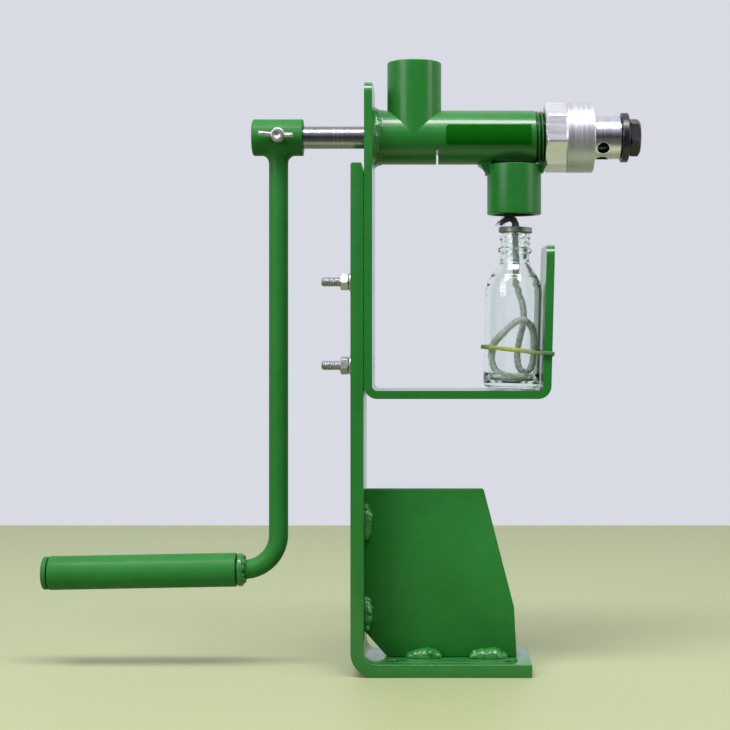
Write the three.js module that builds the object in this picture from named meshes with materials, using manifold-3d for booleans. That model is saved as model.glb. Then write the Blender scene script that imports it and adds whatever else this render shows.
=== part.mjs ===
// A hand-cranked screw press for oil seeds.  A flat steel bar bent to an L is the
// stand; a thinner bar bent to a J is bolted to it and carries the press barrel and a
// wick lamp that warms the barrel.  A crank turns the screw, and a bolt in the press
// head chokes the cake's way out.
// Millimetres, +Z up.  The origin is the centre of the foot's underside; +X runs along
// the barrel from the crank to the press head, and the open front is -Y.
import * as THREE from "three";
import { mergeVertices } from "three/addons/utils/BufferGeometryUtils.js";
import Module from "manifold-3d";

const wasm = await Module();
wasm.setup();

// ---------------------------------------------------------------- driving dimensions
const GAP = 0.3; // between fixed pieces that touch
const ROUND = 36; // sides of a large turned piece
const SMALL_ROUND = 16; // sides of a small one

const BAR_WIDTH = 50;
const STAND = { left: -55.8, thick: 8, right: 55, top: 314, bend: 15 };
const STAND_FACE = STAND.left + STAND.thick; // the upright's inner face
const FOOT_HOLES = { x: [-30, 42], y: 13.5, radius: 4.25 };
const GUSSET = { thick: 6, top: 112.7, topRight: 26.2, slantLow: 39.3, right: 45.1, notch: 13.6, notchUp: 15.6 };
const ARM = { thick: 5, top: 363.6, bottom: 169.8, bend: 8, corner: 7, legTop: 263.8 };
const ARM_LEFT = STAND_FACE + GAP;
const ARM_FACE = ARM_LEFT + ARM.thick;
const ARM_INNER_RIGHT = 61.5; // inner face of the right leg at its foot
const ARM_LEAN = THREE.MathUtils.degToRad(1.6);

const SCREWS = { lower: { z: 189.7, nutTurn: -18 }, upper: { z: 241.9, nutTurn: -5 } };
const M6 = { radius: 3, pitchRadius: 2.8, head: 6, sink: 3.3, hole: 3.3, tipX: -75, nutAcross: 10 };
const WASHER_THICK = 1.6;
const NUT_THICK = 5.2;

const AXIS_Z = 332; // height of the press's axis
const PIPE = { outer: 16.85, inner: 13.6 }; // one-inch pipe of the hopper and the shroud
const BARREL = { right: 78, bore: 9.25, threadStart: 59.6, threadCrest: 16.6, threadRoot: 15.3 };
const PIPE_PITCH = 2.309;
const OIL_SLOT = { x: -2.8, width: 1.3, top: 322.6 };
const HOPPER = { x: -17.1, top: 378.4, feedRadius: 8.5 };
const SHROUD = { x: 45.3, bottom: 283.9 };
const SHROUD_TOP = AXIS_Z - PIPE.outer - GAP;
const LABEL = { from: 2.7, to: 55, low: -21, high: 21, thick: 0.3 };

const CAP = { left: 64, flatsEnd: 77, right: 94.3, radius: 21.87, chamfer: 1.8, thread: 17, turn: -12 };
const HEAD = { left: 78.4, flangeEnd: 84.5, right: 111.4, radius: 13.5, flange: 16.8, chamber: 9.4 };
const CAKE_HOLES = { x: 99.9, radius: 3.75, angles: [-36, -84, -132] };
const CHOKE = { radius: 6.9, tap: 7.2, washer: 15.4, washerEnd: 116.2, across: 21, headEnd: 123.5, turn: -20 };

const SHAFT_RADIUS = 7;
const HUB = { left: -118, right: -86.5, radius: 11.4 };
const ARM_ROD = { x: -101.9, radius: 6, bend: 22, gripZ: 62.2, left: -245.7, drop: 1.05 };
const SLEEVE = { left: -244.4, right: -128.3, radius: 10.5, bore: 6.5 };
const COLLAR = { left: -126.9, right: -122.2, radius: 10.3 };
const END_CAP = { left: -248.8, right: -246, radius: 10.15 };
const WING = { x: -101, boss: 4.35, reach: 11, shank: 2.9, bossTop: 16.5 };

const BOTTLE = { x: 43.5, radius: 17.6, wall: 1.6, shoulder: 66, height: 97, neck: 9, mouth: 6 };
const BOTTLE_LEAN = THREE.MathUtils.degToRad(1.5);
const HOLDER = { radius: 10.5, thick: 3.4, hole: 2.5, plug: 5.6, plugDepth: 1.2 };
const WICK_RADIUS = 2;
const BAND = { height: 2.8, thick: 1.2, z: 199.6 };

// ---------------------------------------------------------------- materials
const finish = (color, roughness, metalness) => ({ color, roughness, metalness });
const ENAMEL = finish(0x24702c, 0.25, 0);
const STEEL = finish(0xb9b9bd, 0.3, 1);
const ZINC = finish(0xc4c4c6, 0.4, 1);
const BLACK = finish(0x1c1c1f, 0.45, 0.6);
const GLASS = finish(0xd7e6df, 0.05, 0);
const COTTON = finish(0x7f8f87, 0.95, 0);
const RUBBER = finish(0xa3a22c, 0.7, 0);
const LABEL_FILM = finish(0x04520a, 0.4, 0);

// ---------------------------------------------------------------- solids
// A geometry with only its positions, its shared vertices merged and slivers dropped.
function closed(geometry) {
  const bare = geometry.clone();
  bare.deleteAttribute("normal");
  bare.deleteAttribute("uv");
  const merged = mergeVertices(bare, 1e-4);
  const index = merged.index.array;
  const kept = [];
  for (let i = 0; i < index.length; i += 3) {
    const [a, b, c] = [index[i], index[i + 1], index[i + 2]];
    if (a !== b && b !== c && c !== a) kept.push(a, b, c);
  }
  merged.setIndex(kept);
  return merged;
}

function solid(geometry) {
  const merged = closed(geometry);
  return new wasm.Manifold(
    new wasm.Mesh({
      numProp: 3,
      vertProperties: new Float32Array(merged.attributes.position.array),
      triVerts: new Uint32Array(merged.index.array),
    }),
  );
}

function geometryOf(body) {
  const mesh = body.getMesh();
  const geometry = new THREE.BufferGeometry();
  geometry.setAttribute("position", new THREE.BufferAttribute(mesh.vertProperties, 3));
  geometry.setIndex(new THREE.BufferAttribute(mesh.triVerts, 1));
  return geometry;
}

// The first geometry with every other one cut away.
function cut(geometry, ...tools) {
  let body = solid(geometry);
  for (const tool of tools) body = body.subtract(solid(tool));
  return geometryOf(body);
}

const joined = (first, ...others) => {
  let body = solid(first);
  for (const other of others) body = body.add(solid(other));
  return geometryOf(body);
};

const common = (first, second) => geometryOf(solid(first).intersect(solid(second)));

// A profile of [radius, distance along the axis] points, counter-clockwise, turned
// about the Z axis.
function turnedZ(profile, sides = ROUND) {
  const points = profile.map(([radius, along]) => new THREE.Vector2(radius, along));
  return new THREE.LatheGeometry(points, sides).rotateX(Math.PI / 2);
}

// The same, turned about the X axis, so that a profile's distances are x.
function turnedX(profile, sides = ROUND) {
  const points = profile.map(([radius, along]) => new THREE.Vector2(radius, along));
  return new THREE.LatheGeometry(points, sides).rotateZ(-Math.PI / 2);
}

const ring = (inner, outer, from, to) => [
  [inner, from],
  [outer, from],
  [outer, to],
  [inner, to],
  [inner, from],
];
const bar = (radius, from, to) => [
  [0, from],
  [radius, from],
  [radius, to],
  [0, to],
];
const barX = (radius, from, to, sides) => turnedX(bar(radius, from, to), sides);
const barZ = (radius, from, to, sides) => turnedZ(bar(radius, from, to), sides);

// An outline drawn in X and Z, given a thickness along Y and centred on y.
function platedY(shape, thick, y = 0) {
  const plate = new THREE.ExtrudeGeometry(shape, { depth: thick, bevelEnabled: false, curveSegments: 8 });
  return plate.rotateX(Math.PI / 2).translate(0, y + thick / 2, 0);
}

// An outline drawn in Y and Z, extruded along X.
function barAlongX(shape, from, to) {
  const solidBar = new THREE.ExtrudeGeometry(shape, { depth: to - from, bevelEnabled: false, curveSegments: 8 });
  return solidBar.rotateX(Math.PI / 2).rotateZ(Math.PI / 2).translate(from, 0, 0);
}

function box(x0, x1, y0, y1, z0, z1) {
  const block = new THREE.BoxGeometry(Math.abs(x1 - x0), Math.abs(y1 - y0), Math.abs(z1 - z0));
  return block.translate((x0 + x1) / 2, (y0 + y1) / 2, (z0 + z1) / 2);
}

const circle = (radius, sides) => {
  const shape = new THREE.Shape();
  for (let i = 0; i < sides; i++) {
    const angle = (2 * Math.PI * i) / sides;
    if (i === 0) shape.moveTo(radius, 0);
    else shape.lineTo(radius * Math.cos(angle), radius * Math.sin(angle));
  }
  return shape;
};

function rodAlong(path, radius, steps, sides) {
  return new THREE.ExtrudeGeometry(circle(radius, sides), { steps, extrudePath: path, bevelEnabled: false });
}

const part = new THREE.Group();

function add(name, geometry, look, parent = part) {
  const mesh = new THREE.Mesh(geometry, new THREE.MeshStandardMaterial(look));
  mesh.name = name;
  parent.add(mesh);
  return mesh;
}

// ---------------------------------------------------------------- stand
// What a corner loses when it is rounded, drawn round the corner's own point.
function roundedOff(radius) {
  const shape = new THREE.Shape();
  shape.moveTo(-radius, 1);
  shape.absarc(-radius, -radius, radius, Math.PI / 2, 0, true);
  shape.lineTo(1, -radius);
  shape.lineTo(1, 1);
  return shape;
}

// Rounds the two top corners of a bar that stands with its width along Y.
function topCorners(x0, x1, top, radius) {
  const far = barAlongX(roundedOff(radius), x0, x1).translate(0, BAR_WIDTH / 2, top);
  const near = far.clone().rotateZ(Math.PI).translate(x0 + x1, 0, 0);
  return [far, near];
}

function standBracket() {
  const { left, thick, right, top, bend } = STAND;
  const shape = new THREE.Shape();
  shape.moveTo(right, 0);
  shape.lineTo(right, thick);
  shape.lineTo(left + bend, thick);
  shape.absarc(left + bend, bend, bend - thick, -Math.PI / 2, -Math.PI, true);
  shape.lineTo(STAND_FACE, top - 6.5);
  shape.lineTo(STAND_FACE - 1.4, top);
  shape.lineTo(left + 0.8, top);
  shape.lineTo(left, top - 0.8);
  shape.lineTo(left, bend);
  shape.absarc(left + bend, bend, bend, Math.PI, 1.5 * Math.PI, false);
  const holes = Object.values(SCREWS).map(({ z }) =>
    barX(M6.hole, left - 1, STAND_FACE + 1, SMALL_ROUND).translate(0, 0, z),
  );
  for (const x of FOOT_HOLES.x) {
    for (const y of [-FOOT_HOLES.y, FOOT_HOLES.y]) {
      holes.push(barZ(FOOT_HOLES.radius, -1, thick + 1, SMALL_ROUND).translate(x, y, 0));
    }
  }
  return cut(platedY(shape, BAR_WIDTH), ...holes);
}

function gussetPlate() {
  const left = STAND_FACE + GAP;
  const low = STAND.thick + GAP;
  const shape = new THREE.Shape();
  shape.moveTo(left + GUSSET.notch, low);
  shape.lineTo(GUSSET.right + 1.7, low);
  shape.lineTo(GUSSET.right, GUSSET.slantLow);
  shape.lineTo(GUSSET.topRight, GUSSET.top);
  shape.lineTo(left, GUSSET.top);
  shape.lineTo(left, low + GUSSET.notchUp);
  return platedY(shape, GUSSET.thick);
}

// A lumpy bead of weld along the Z axis, from z = 0 up.
function bead(length, radius) {
  const profile = [[0, 0]];
  const steps = 9;
  for (let i = 0; i <= steps; i++) {
    const end = Math.min(i, steps - i) === 0 ? 0.55 : 1;
    profile.push([radius * end * (1 + 0.09 * Math.sin(2.4 * i)), (length * i) / steps]);
  }
  profile.push([0, length]);
  return turnedZ(profile, 16);
}

// The gusset's welds: two up the upright and two along the foot, on each side.
function gussetWelds() {
  const stand = box(STAND.left, STAND_FACE + GAP, -40, 40, -1, 200);
  const foot = box(-80, 80, -40, 40, -1, STAND.thick + GAP);
  const halfGusset = GUSSET.thick / 2 + GAP;
  const uprightRuns = [
    [26, 44.4],
    [82.5, 102.4],
  ];
  const footRuns = [
    [-20, -2.2],
    [19, 38.8],
  ];
  for (const [side, sign] of [["front", -1], ["back", 1]]) {
    const edge = sign * halfGusset;
    const behind = box(-80, 80, edge, -40 * sign, -1, 200);
    uprightRuns.forEach(([low, high], i) => {
      const run = bead(high - low, 6).translate(STAND_FACE + GAP, edge, low);
      add(`upright_weld_${side}_${i + 1}`, cut(run, stand, behind), ENAMEL);
    });
    footRuns.forEach(([from, to], i) => {
      const run = bead(to - from, 6.8).rotateY(Math.PI / 2).translate(from, edge, STAND.thick + GAP);
      add(`foot_weld_${side}_${i + 1}`, cut(run, foot, behind), ENAMEL);
    });
  }
}

// ---------------------------------------------------------------- arm and its screws
function lampArm() {
  const { thick, top, bottom, bend, legTop } = ARM;
  const inner = bend - thick;
  const legRise = legTop - bottom - bend;
  const legShift = Math.tan(ARM_LEAN) * legRise;
  const right = ARM_INNER_RIGHT + thick;
  const shape = new THREE.Shape();
  shape.moveTo(ARM_LEFT, top);
  shape.lineTo(ARM_LEFT, bottom + bend);
  shape.absarc(ARM_LEFT + bend, bottom + bend, bend, Math.PI, 1.5 * Math.PI, false);
  shape.lineTo(right - bend, bottom);
  shape.absarc(right - bend, bottom + bend, bend, -Math.PI / 2, 0, false);
  shape.lineTo(right + legShift, legTop);
  shape.lineTo(right + legShift - thick, legTop);
  shape.lineTo(right - thick, bottom + bend);
  shape.absarc(right - bend, bottom + bend, inner, 0, -Math.PI / 2, true);
  shape.lineTo(ARM_LEFT + bend, bottom + thick);
  shape.absarc(ARM_LEFT + bend, bottom + bend, inner, 1.5 * Math.PI, Math.PI, true);
  shape.lineTo(ARM_FACE, top);
  const tools = [
    barX(SHAFT_RADIUS + 0.4, ARM_LEFT - 1, ARM_FACE + 1).translate(0, 0, AXIS_Z),
    ...topCorners(ARM_LEFT - 1, ARM_FACE + 1, top, ARM.corner),
    ...topCorners(ARM_INNER_RIGHT - 1, right + 5, legTop, ARM.corner),
  ];
  for (const { z } of Object.values(SCREWS)) {
    const sink = [
      [0, ARM_LEFT - 1],
      [M6.hole, ARM_LEFT - 1],
      [M6.hole, ARM_FACE - M6.sink],
      [M6.head + GAP, ARM_FACE - GAP],
      [M6.head + GAP, ARM_FACE + 1],
      [0, ARM_FACE + 1],
    ];
    tools.push(turnedX(sink, SMALL_ROUND).translate(0, 0, z));
  }
  return cut(platedY(shape, BAR_WIDTH), ...tools);
}

function countersunkScrew() {
  const profile = [
    [0, M6.tipX],
    [M6.pitchRadius - 0.8, M6.tipX],
    [M6.pitchRadius, M6.tipX + 0.8],
    [M6.pitchRadius, ARM_FACE - M6.sink - 0.2],
    [M6.head - 0.3, ARM_FACE - 0.4],
    [M6.head - 0.3, ARM_FACE],
    [0, ARM_FACE],
  ];
  return turnedX(profile, SMALL_ROUND);
}

// A hexagon whose corner stands turn degrees above the front.
function hexagonX(across, from, to, bore, turn) {
  const corner = across / Math.sqrt(3);
  const block = barX(corner, from, to, 6).rotateX(THREE.MathUtils.degToRad(30 - turn));
  const bevel = Math.min(0.12 * across, (to - from) / 3);
  const round = [
    [0, from],
    [corner - bevel, from],
    [corner + 0.05, from + bevel * 0.6],
    [corner + 0.05, to - bevel * 0.6],
    [corner - bevel, to],
    [0, to],
  ];
  const bevelled = common(block, turnedX(round, 24));
  return bore ? cut(bevelled, barX(bore, from - 1, to + 1, SMALL_ROUND)) : bevelled;
}

function screwStacks() {
  const bore = M6.radius + 0.1;
  const washerRight = STAND.left - GAP;
  const nutRight = washerRight - WASHER_THICK - GAP;
  for (const [name, { z, nutTurn }] of Object.entries(SCREWS)) {
    const level = new THREE.Group();
    level.position.z = z;
    part.add(level);
    add(`clamp_screw_${name}`, countersunkScrew(), ZINC, level);
    const washer = turnedX(ring(bore, 6, washerRight - WASHER_THICK, washerRight), SMALL_ROUND);
    add(`flat_washer_${name}`, washer, ZINC, level);
    const nut = hexagonX(M6.nutAcross, nutRight - NUT_THICK, nutRight, bore, nutTurn);
    add(`hex_nut_${name}`, nut, ZINC, level);
  }
}

// ---------------------------------------------------------------- barrel and its tubes
function pressBarrel() {
  const left = ARM_FACE + GAP;
  const profile = [
    [BARREL.bore, left],
    [PIPE.outer, left],
    [PIPE.outer, BARREL.threadStart],
  ];
  const turns = Math.floor((BARREL.right - BARREL.threadStart) / PIPE_PITCH);
  for (let i = 0; i < turns; i++) {
    const start = BARREL.threadStart + i * PIPE_PITCH;
    profile.push([BARREL.threadRoot, start + 0.35 * PIPE_PITCH]);
    profile.push([BARREL.threadCrest, start + 0.85 * PIPE_PITCH]);
  }
  profile.push([BARREL.threadRoot, BARREL.right]);
  profile.push([BARREL.bore, BARREL.right]);
  profile.push([BARREL.bore, left]);
  const tube = turnedX(profile).translate(0, 0, AXIS_Z);
  const { x, width, top } = OIL_SLOT;
  const slot = box(x - width / 2, x + width / 2, -30, 30, AXIS_Z - 30, top);
  const feed = barZ(HOPPER.feedRadius, AXIS_Z, AXIS_Z + 30).translate(HOPPER.x, 0, 0);
  return cut(tube, slot, feed);
}

const barrelEnvelope = (extra) => barX(PIPE.outer + extra, ARM_FACE - 20, 90).translate(0, 0, AXIS_Z);

function barrelWeld() {
  const left = ARM_FACE + GAP;
  const inner = PIPE.outer + GAP;
  const profile = [
    [inner, left],
    [inner + 3.2, left],
    [inner + 2.6, left + 1.8],
    [inner + 1.3, left + 3.4],
    [inner, left + 4.2],
    [inner, left],
  ];
  return turnedX(profile).translate(0, 0, AXIS_Z);
}

function feedHopper() {
  const tube = turnedZ(ring(PIPE.inner, PIPE.outer, AXIS_Z, HOPPER.top)).translate(HOPPER.x, 0, 0);
  return cut(tube, barrelEnvelope(GAP));
}

// The filled tip where the hopper's wall meets the barrel's widest line.
function hopperWelds() {
  const tube = barZ(PIPE.outer + GAP, AXIS_Z - 10, HOPPER.top).translate(HOPPER.x, 0, 0);
  for (const [side, sign] of [["front", -1], ["back", 1]]) {
    const lump = new THREE.SphereGeometry(6, 20, 14).scale(1, 1, 0.85);
    const placed = lump.translate(HOPPER.x, sign * (PIPE.outer - 4), AXIS_Z + 3);
    const outside = box(-60, 60, sign * 12, sign * 40, AXIS_Z - 10, AXIS_Z + 20);
    add(`hopper_weld_${side}`, common(cut(placed, tube, barrelEnvelope(GAP)), outside), ENAMEL);
  }
}

function flameShroud() {
  return turnedZ(ring(PIPE.inner, PIPE.outer, SHROUD.bottom, SHROUD_TOP)).translate(SHROUD.x, 0, 0);
}

// A fillet under the barrel beside the shroud: legs along X and Z, rounded in plan.
function shroudWeld(sign, legX, legZ) {
  const edge = SHROUD.x + sign * (PIPE.outer + GAP);
  const shape = new THREE.Shape();
  shape.moveTo(edge - sign * 6, SHROUD_TOP + 3);
  shape.lineTo(edge + sign * legX, SHROUD_TOP + 3);
  shape.lineTo(edge + sign * legX, SHROUD_TOP - 0.4);
  shape.lineTo(edge, SHROUD_TOP - legZ);
  shape.lineTo(edge - sign * 6, SHROUD_TOP - legZ);
  const tube = barZ(PIPE.outer + GAP, SHROUD.bottom, SHROUD_TOP + GAP).translate(SHROUD.x, 0, 0);
  const wedge = platedY(shape, 14);
  const outside = box(edge, edge + sign * 20, -20, 20, SHROUD.bottom, SHROUD_TOP + 5);
  return common(cut(wedge, tube, barrelEnvelope(GAP)), outside);
}

function blankLabel() {
  const radius = PIPE.outer + GAP;
  const low = Math.PI - THREE.MathUtils.degToRad(LABEL.low);
  const high = Math.PI - THREE.MathUtils.degToRad(LABEL.high);
  const shape = new THREE.Shape();
  shape.absarc(0, 0, radius + LABEL.thick, high, low, false);
  shape.absarc(0, 0, radius, low, high, true);
  return barAlongX(shape, LABEL.from, LABEL.to).translate(0, 0, AXIS_Z);
}

// ---------------------------------------------------------------- crank body
// The screw: a twisted bar whose section is a round core with one lobe.
function screwFlight(from, to) {
  const sides = 14;
  const core = 6.2;
  const crest = 9;
  const pitch = 16;
  const shape = new THREE.Shape();
  for (let i = 0; i < sides; i++) {
    const angle = (2 * Math.PI * i) / sides;
    const lobe = Math.max(0, Math.cos(angle)) ** 0.6;
    const radius = core + (crest - core) * lobe;
    const point = [radius * Math.cos(angle), radius * Math.sin(angle)];
    if (i === 0) shape.moveTo(...point);
    else shape.lineTo(...point);
  }
  const steps = Math.round(((to - from) / pitch) * 7);
  const flight = new THREE.ExtrudeGeometry(shape, { depth: to - from, steps, bevelEnabled: false });
  const position = flight.attributes.position;
  const point = new THREE.Vector3();
  for (let i = 0; i < position.count; i++) {
    point.fromBufferAttribute(position, i);
    point.applyAxisAngle(new THREE.Vector3(0, 0, 1), (2 * Math.PI * point.z) / pitch);
    position.setXYZ(i, point.x, point.y, point.z);
  }
  return flight.rotateY(Math.PI / 2).translate(from, 0, 0);
}

function expellerScrew() {
  const flightStart = ARM_FACE + 4;
  const flightEnd = BARREL.right - 2;
  const shaft = barX(SHAFT_RADIUS, HUB.left + 2, flightStart + 1);
  const tip = [
    [0, flightEnd - 1],
    [6, flightEnd - 1],
    [6, flightEnd + 2],
    [3.5, flightEnd + 10],
    [0, flightEnd + 10],
  ];
  return joined(shaft, screwFlight(flightStart, flightEnd), turnedX(tip, SMALL_ROUND));
}

function thrustWasher() {
  const left = ARM_FACE + 0.6;
  return turnedX(ring(SHAFT_RADIUS + 0.25, BARREL.bore - 0.35, left, left + 2.6), 24);
}

function crankHub() {
  const { left, right, radius } = HUB;
  const profile = [
    [SHAFT_RADIUS + 0.2, left],
    [radius - 0.7, left],
    [radius, left + 0.7],
    [radius, right - 0.7],
    [radius - 0.7, right],
    [SHAFT_RADIUS + 0.2, right],
    [SHAFT_RADIUS + 0.2, left],
  ];
  const tapped = barZ(WING.shank + 0.3, 0, 20, SMALL_ROUND).rotateX(Math.PI / 2).translate(WING.x, 0, 0);
  return cut(turnedX(profile), tapped);
}

// The grip's line, from the crank's bend out to the left, falling a little.
const gripSlope = Math.tan(THREE.MathUtils.degToRad(ARM_ROD.drop));
const gripZ = (x) => ARM_ROD.gripZ - AXIS_Z + (x - COLLAR.right) * gripSlope;

function crankArm() {
  const { x, bend, left, radius } = ARM_ROD;
  const sides = 20;
  const overlap = 1;
  const low = gripZ(x - bend);
  const handle = 0.5523 * bend;
  const bendTop = new THREE.Vector3(x, 0, low + bend);
  const bendEnd = new THREE.Vector3(x - bend, 0, low);
  const first = new THREE.Vector3(x, 0, low + bend - handle);
  const second = new THREE.Vector3(x - bend + handle, 0, low + handle * gripSlope);
  const curve = new THREE.CubicBezierCurve3(bendTop, first, second, bendEnd);
  const upright = barZ(radius, low + bend - overlap, 1 - HUB.radius, sides).translate(x, 0, 0);
  const handleRod = onGrip(bar(radius, left, x - bend + overlap), sides);
  const rod = joined(upright, rodAlong(curve, radius, 9, sides), handleRod);
  return cut(rod, barX(HUB.radius + GAP, HUB.left, HUB.right));
}

function crankWeld() {
  const profile = [
    [ARM_ROD.radius + GAP, -16],
    [ARM_ROD.radius + 1, -15.2],
    [ARM_ROD.radius + 3.4, -12.2],
    [ARM_ROD.radius + 4.6, -8],
    [ARM_ROD.radius + 4, -4],
    [ARM_ROD.radius + GAP, -4],
    [ARM_ROD.radius + GAP, -16],
  ];
  const collar = turnedZ(profile, 24).translate(ARM_ROD.x, 0, 0);
  return cut(collar, barX(HUB.radius + GAP, HUB.left - 1, HUB.right + 1));
}

function wingScrew() {
  const profile = [
    [0, SHAFT_RADIUS + 0.3],
    [WING.shank, SHAFT_RADIUS + 0.3],
    [WING.shank, HUB.radius + 0.6],
    [WING.boss + 0.4, HUB.radius + 0.6],
    [WING.boss, WING.bossTop - 1],
    [WING.boss - 0.8, WING.bossTop],
    [2.2, WING.bossTop],
    [0, WING.bossTop - 1.4],
  ];
  const boss = turnedZ(profile, SMALL_ROUND);
  const wings = [-1, 1].map((sign) => {
    const shape = new THREE.Shape();
    shape.moveTo(sign * 2.5, HUB.radius + 1.4);
    shape.lineTo(sign * (WING.reach - 4), HUB.radius + 2.2);
    shape.quadraticCurveTo(sign * WING.reach, HUB.radius + 3.2, sign * WING.reach, HUB.radius + 6.5);
    shape.quadraticCurveTo(sign * WING.reach, HUB.radius + 9, sign * (WING.reach - 2.2), HUB.radius + 9);
    shape.lineTo(sign * 2.5, HUB.radius + 4.6);
    return platedY(shape, 2.6);
  });
  return joined(boss, ...wings).rotateX(Math.PI / 2);
}

// A ring or disc square to the grip's line, centred on it.
function onGrip(profile, sides) {
  const centre = new THREE.Vector3(0, 0, gripZ(0));
  const drop = THREE.MathUtils.degToRad(ARM_ROD.drop);
  return turnedX(profile, sides).rotateY(-drop).translate(centre.x, centre.y, centre.z);
}

function gripSleeve() {
  const { left, right, radius, bore } = SLEEVE;
  const profile = [
    [bore, left],
    [radius - 0.6, left],
    [radius, left + 0.6],
    [radius, right - 0.6],
    [radius - 0.6, right],
    [bore, right],
    [bore, left],
  ];
  return onGrip(profile, 32);
}

// ---------------------------------------------------------------- press head and choke
function capNut() {
  const { left, flatsEnd, right, radius, chamfer, thread, turn } = CAP;
  const flats = barX(radius, left, flatsEnd + 0.4, 8).rotateX(THREE.MathUtils.degToRad(90 - turn));
  const bevel = [
    [0, left],
    [radius - 1.6, left],
    [radius + 0.1, left + 1.2],
    [radius + 0.1, flatsEnd + 1],
    [0, flatsEnd + 1],
  ];
  const round = [
    [0, flatsEnd],
    [radius, flatsEnd],
    [radius, right - chamfer],
    [radius - chamfer, right],
    [0, right],
  ];
  const shoulder = HEAD.flangeEnd + GAP;
  const bore = [
    [0, left - 1],
    [thread, left - 1],
    [thread, HEAD.left],
    [HEAD.flange + GAP, HEAD.left],
    [HEAD.flange + GAP, shoulder],
    [HEAD.radius + GAP, shoulder],
    [HEAD.radius + GAP, right + 1],
    [0, right + 1],
  ];
  return cut(joined(common(flats, turnedX(bevel)), turnedX(round)), turnedX(bore));
}

function pressHead() {
  const { left, flangeEnd, right, radius, flange, chamber } = HEAD;
  const profile = [
    [chamber, left],
    [flange, left],
    [flange, flangeEnd],
    [radius, flangeEnd],
    [radius, right - 0.5],
    [radius - 0.5, right],
    [CHOKE.tap, right],
    [CHOKE.tap, right - 6.5],
    [chamber, right - 6.5],
    [chamber, left],
  ];
  const holes = CAKE_HOLES.angles.map((angle) =>
    barZ(CAKE_HOLES.radius, 4, 20, SMALL_ROUND)
      .rotateX(Math.PI / 2 - THREE.MathUtils.degToRad(angle))
      .translate(CAKE_HOLES.x, 0, 0),
  );
  return cut(turnedX(profile), ...holes);
}

function chokeBolt() {
  const from = CHOKE.washerEnd + 0.2;
  const head = hexagonX(CHOKE.across, from, CHOKE.headEnd, 0, CHOKE.turn);
  const shank = [
    [0, 90],
    [2, 90],
    [CHOKE.radius, 97],
    [CHOKE.radius, from + 1],
    [0, from + 1],
  ];
  return joined(head, turnedX(shank, 28));
}

// ---------------------------------------------------------------- lamp
const lamp = new THREE.Group();
lamp.position.set(BOTTLE.x, 0, ARM.bottom + ARM.thick + GAP + 0.2);
lamp.rotation.y = BOTTLE_LEAN;
part.add(lamp);

function lampBottle() {
  const { radius, wall, shoulder, height, neck, mouth } = BOTTLE;
  const bead1 = height - 12.5;
  const profile = [
    [0, 1.2],
    [radius - 4.5, 0],
    [radius - 2, 0.4],
    [radius - 0.5, 1.8],
    [radius, 4],
    [radius, shoulder - 4],
    [radius - 0.9, shoulder],
    [radius - 3.2, shoulder + 4.6],
    [radius - 6, shoulder + 8.6],
    [neck + 0.6, shoulder + 11.6],
    [neck, shoulder + 14],
    [neck, bead1],
    [neck + 1.6, bead1 + 0.9],
    [neck + 1.6, bead1 + 2.3],
    [neck, bead1 + 3.4],
    [neck, height - 1],
    [neck - 0.6, height],
    [mouth, height],
    [mouth, shoulder + 15],
    [mouth + 1.4, shoulder + 11.5],
    [radius - 6 - wall, shoulder + 7],
    [radius - wall - 1.6, shoulder + 1],
    [radius - wall, shoulder - 5],
    [radius - wall, 9],
    [radius - wall - 2.4, 5.4],
    [radius - wall - 6, 4.2],
    [0, 4.2],
  ];
  return turnedZ(profile, 28);
}

function wickHolder() {
  const { radius, thick, hole, plug, plugDepth } = HOLDER;
  const low = BOTTLE.height + GAP;
  const profile = [
    [hole, low - plugDepth],
    [plug, low - plugDepth],
    [plug, low],
    [radius, low],
    [radius, low + thick],
    [hole, low + thick],
    [hole, low - plugDepth],
  ];
  return turnedZ(profile, 28);
}

// The wick's line, from its frayed tip down through the holder to its end in the oil.
// Points are measured from the centre of the bottle's foot.
const WICK_ROUTE = [
  [-9.6, -3.2, 101.8],
  [-7.9, -2.6, 104.2],
  [-5.4, -1.8, 105.9],
  [-2.6, -0.8, 106.0],
  [-0.6, -0.2, 104.2],
  [0.1, 0, 101.2],
  [0.1, 0, 97],
  [0.1, 0, 92.5],
  [0.6, 0, 86],
  [1.0, 0, 78],
  [0.9, 0.4, 71],
  [1.5, 1.2, 65],
  [3.7, 2.6, 59],
  [6.0, 4.2, 52.5],
  [7.0, 5.8, 45.5],
  [6.4, 7.4, 38],
  [5.0, 8.8, 31],
  [4.0, 10.0, 24.5],
  [4.0, 10.2, 18.5],
  [5.2, 8.6, 13.2],
  [7.8, 5.2, 10.2],
  [10.6, 1.4, 11.0],
  [12.4, -1.4, 15.4],
  [13.1, -2.8, 21.5],
  [13.1, -3.4, 28.5],
  [12.4, -4.2, 35],
  [10.4, -5.4, 39.8],
  [7.0, -6.6, 42.4],
  [3.0, -7.6, 42.4],
  [-0.8, -8.4, 40],
  [-4.6, -8.8, 36.2],
  [-8.4, -8.4, 32.2],
  [-11.4, -7.0, 28],
  [-12.5, -5.2, 22.4],
  [-12.4, -5.0, 16.4],
  [-10.0, -6.2, 11.4],
  [-6.0, -7.8, 8.8],
  [-0.6, -9.0, 7.5],
  [5.0, -9.4, 7.2],
  [9.6, -7.6, 8.0],
];

function wick() {
  const route = new THREE.CatmullRomCurve3(
    WICK_ROUTE.map((point) => new THREE.Vector3(...point)),
    false,
    "centripetal",
  );
  return rodAlong(route, WICK_RADIUS, 84, 8);
}

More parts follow.
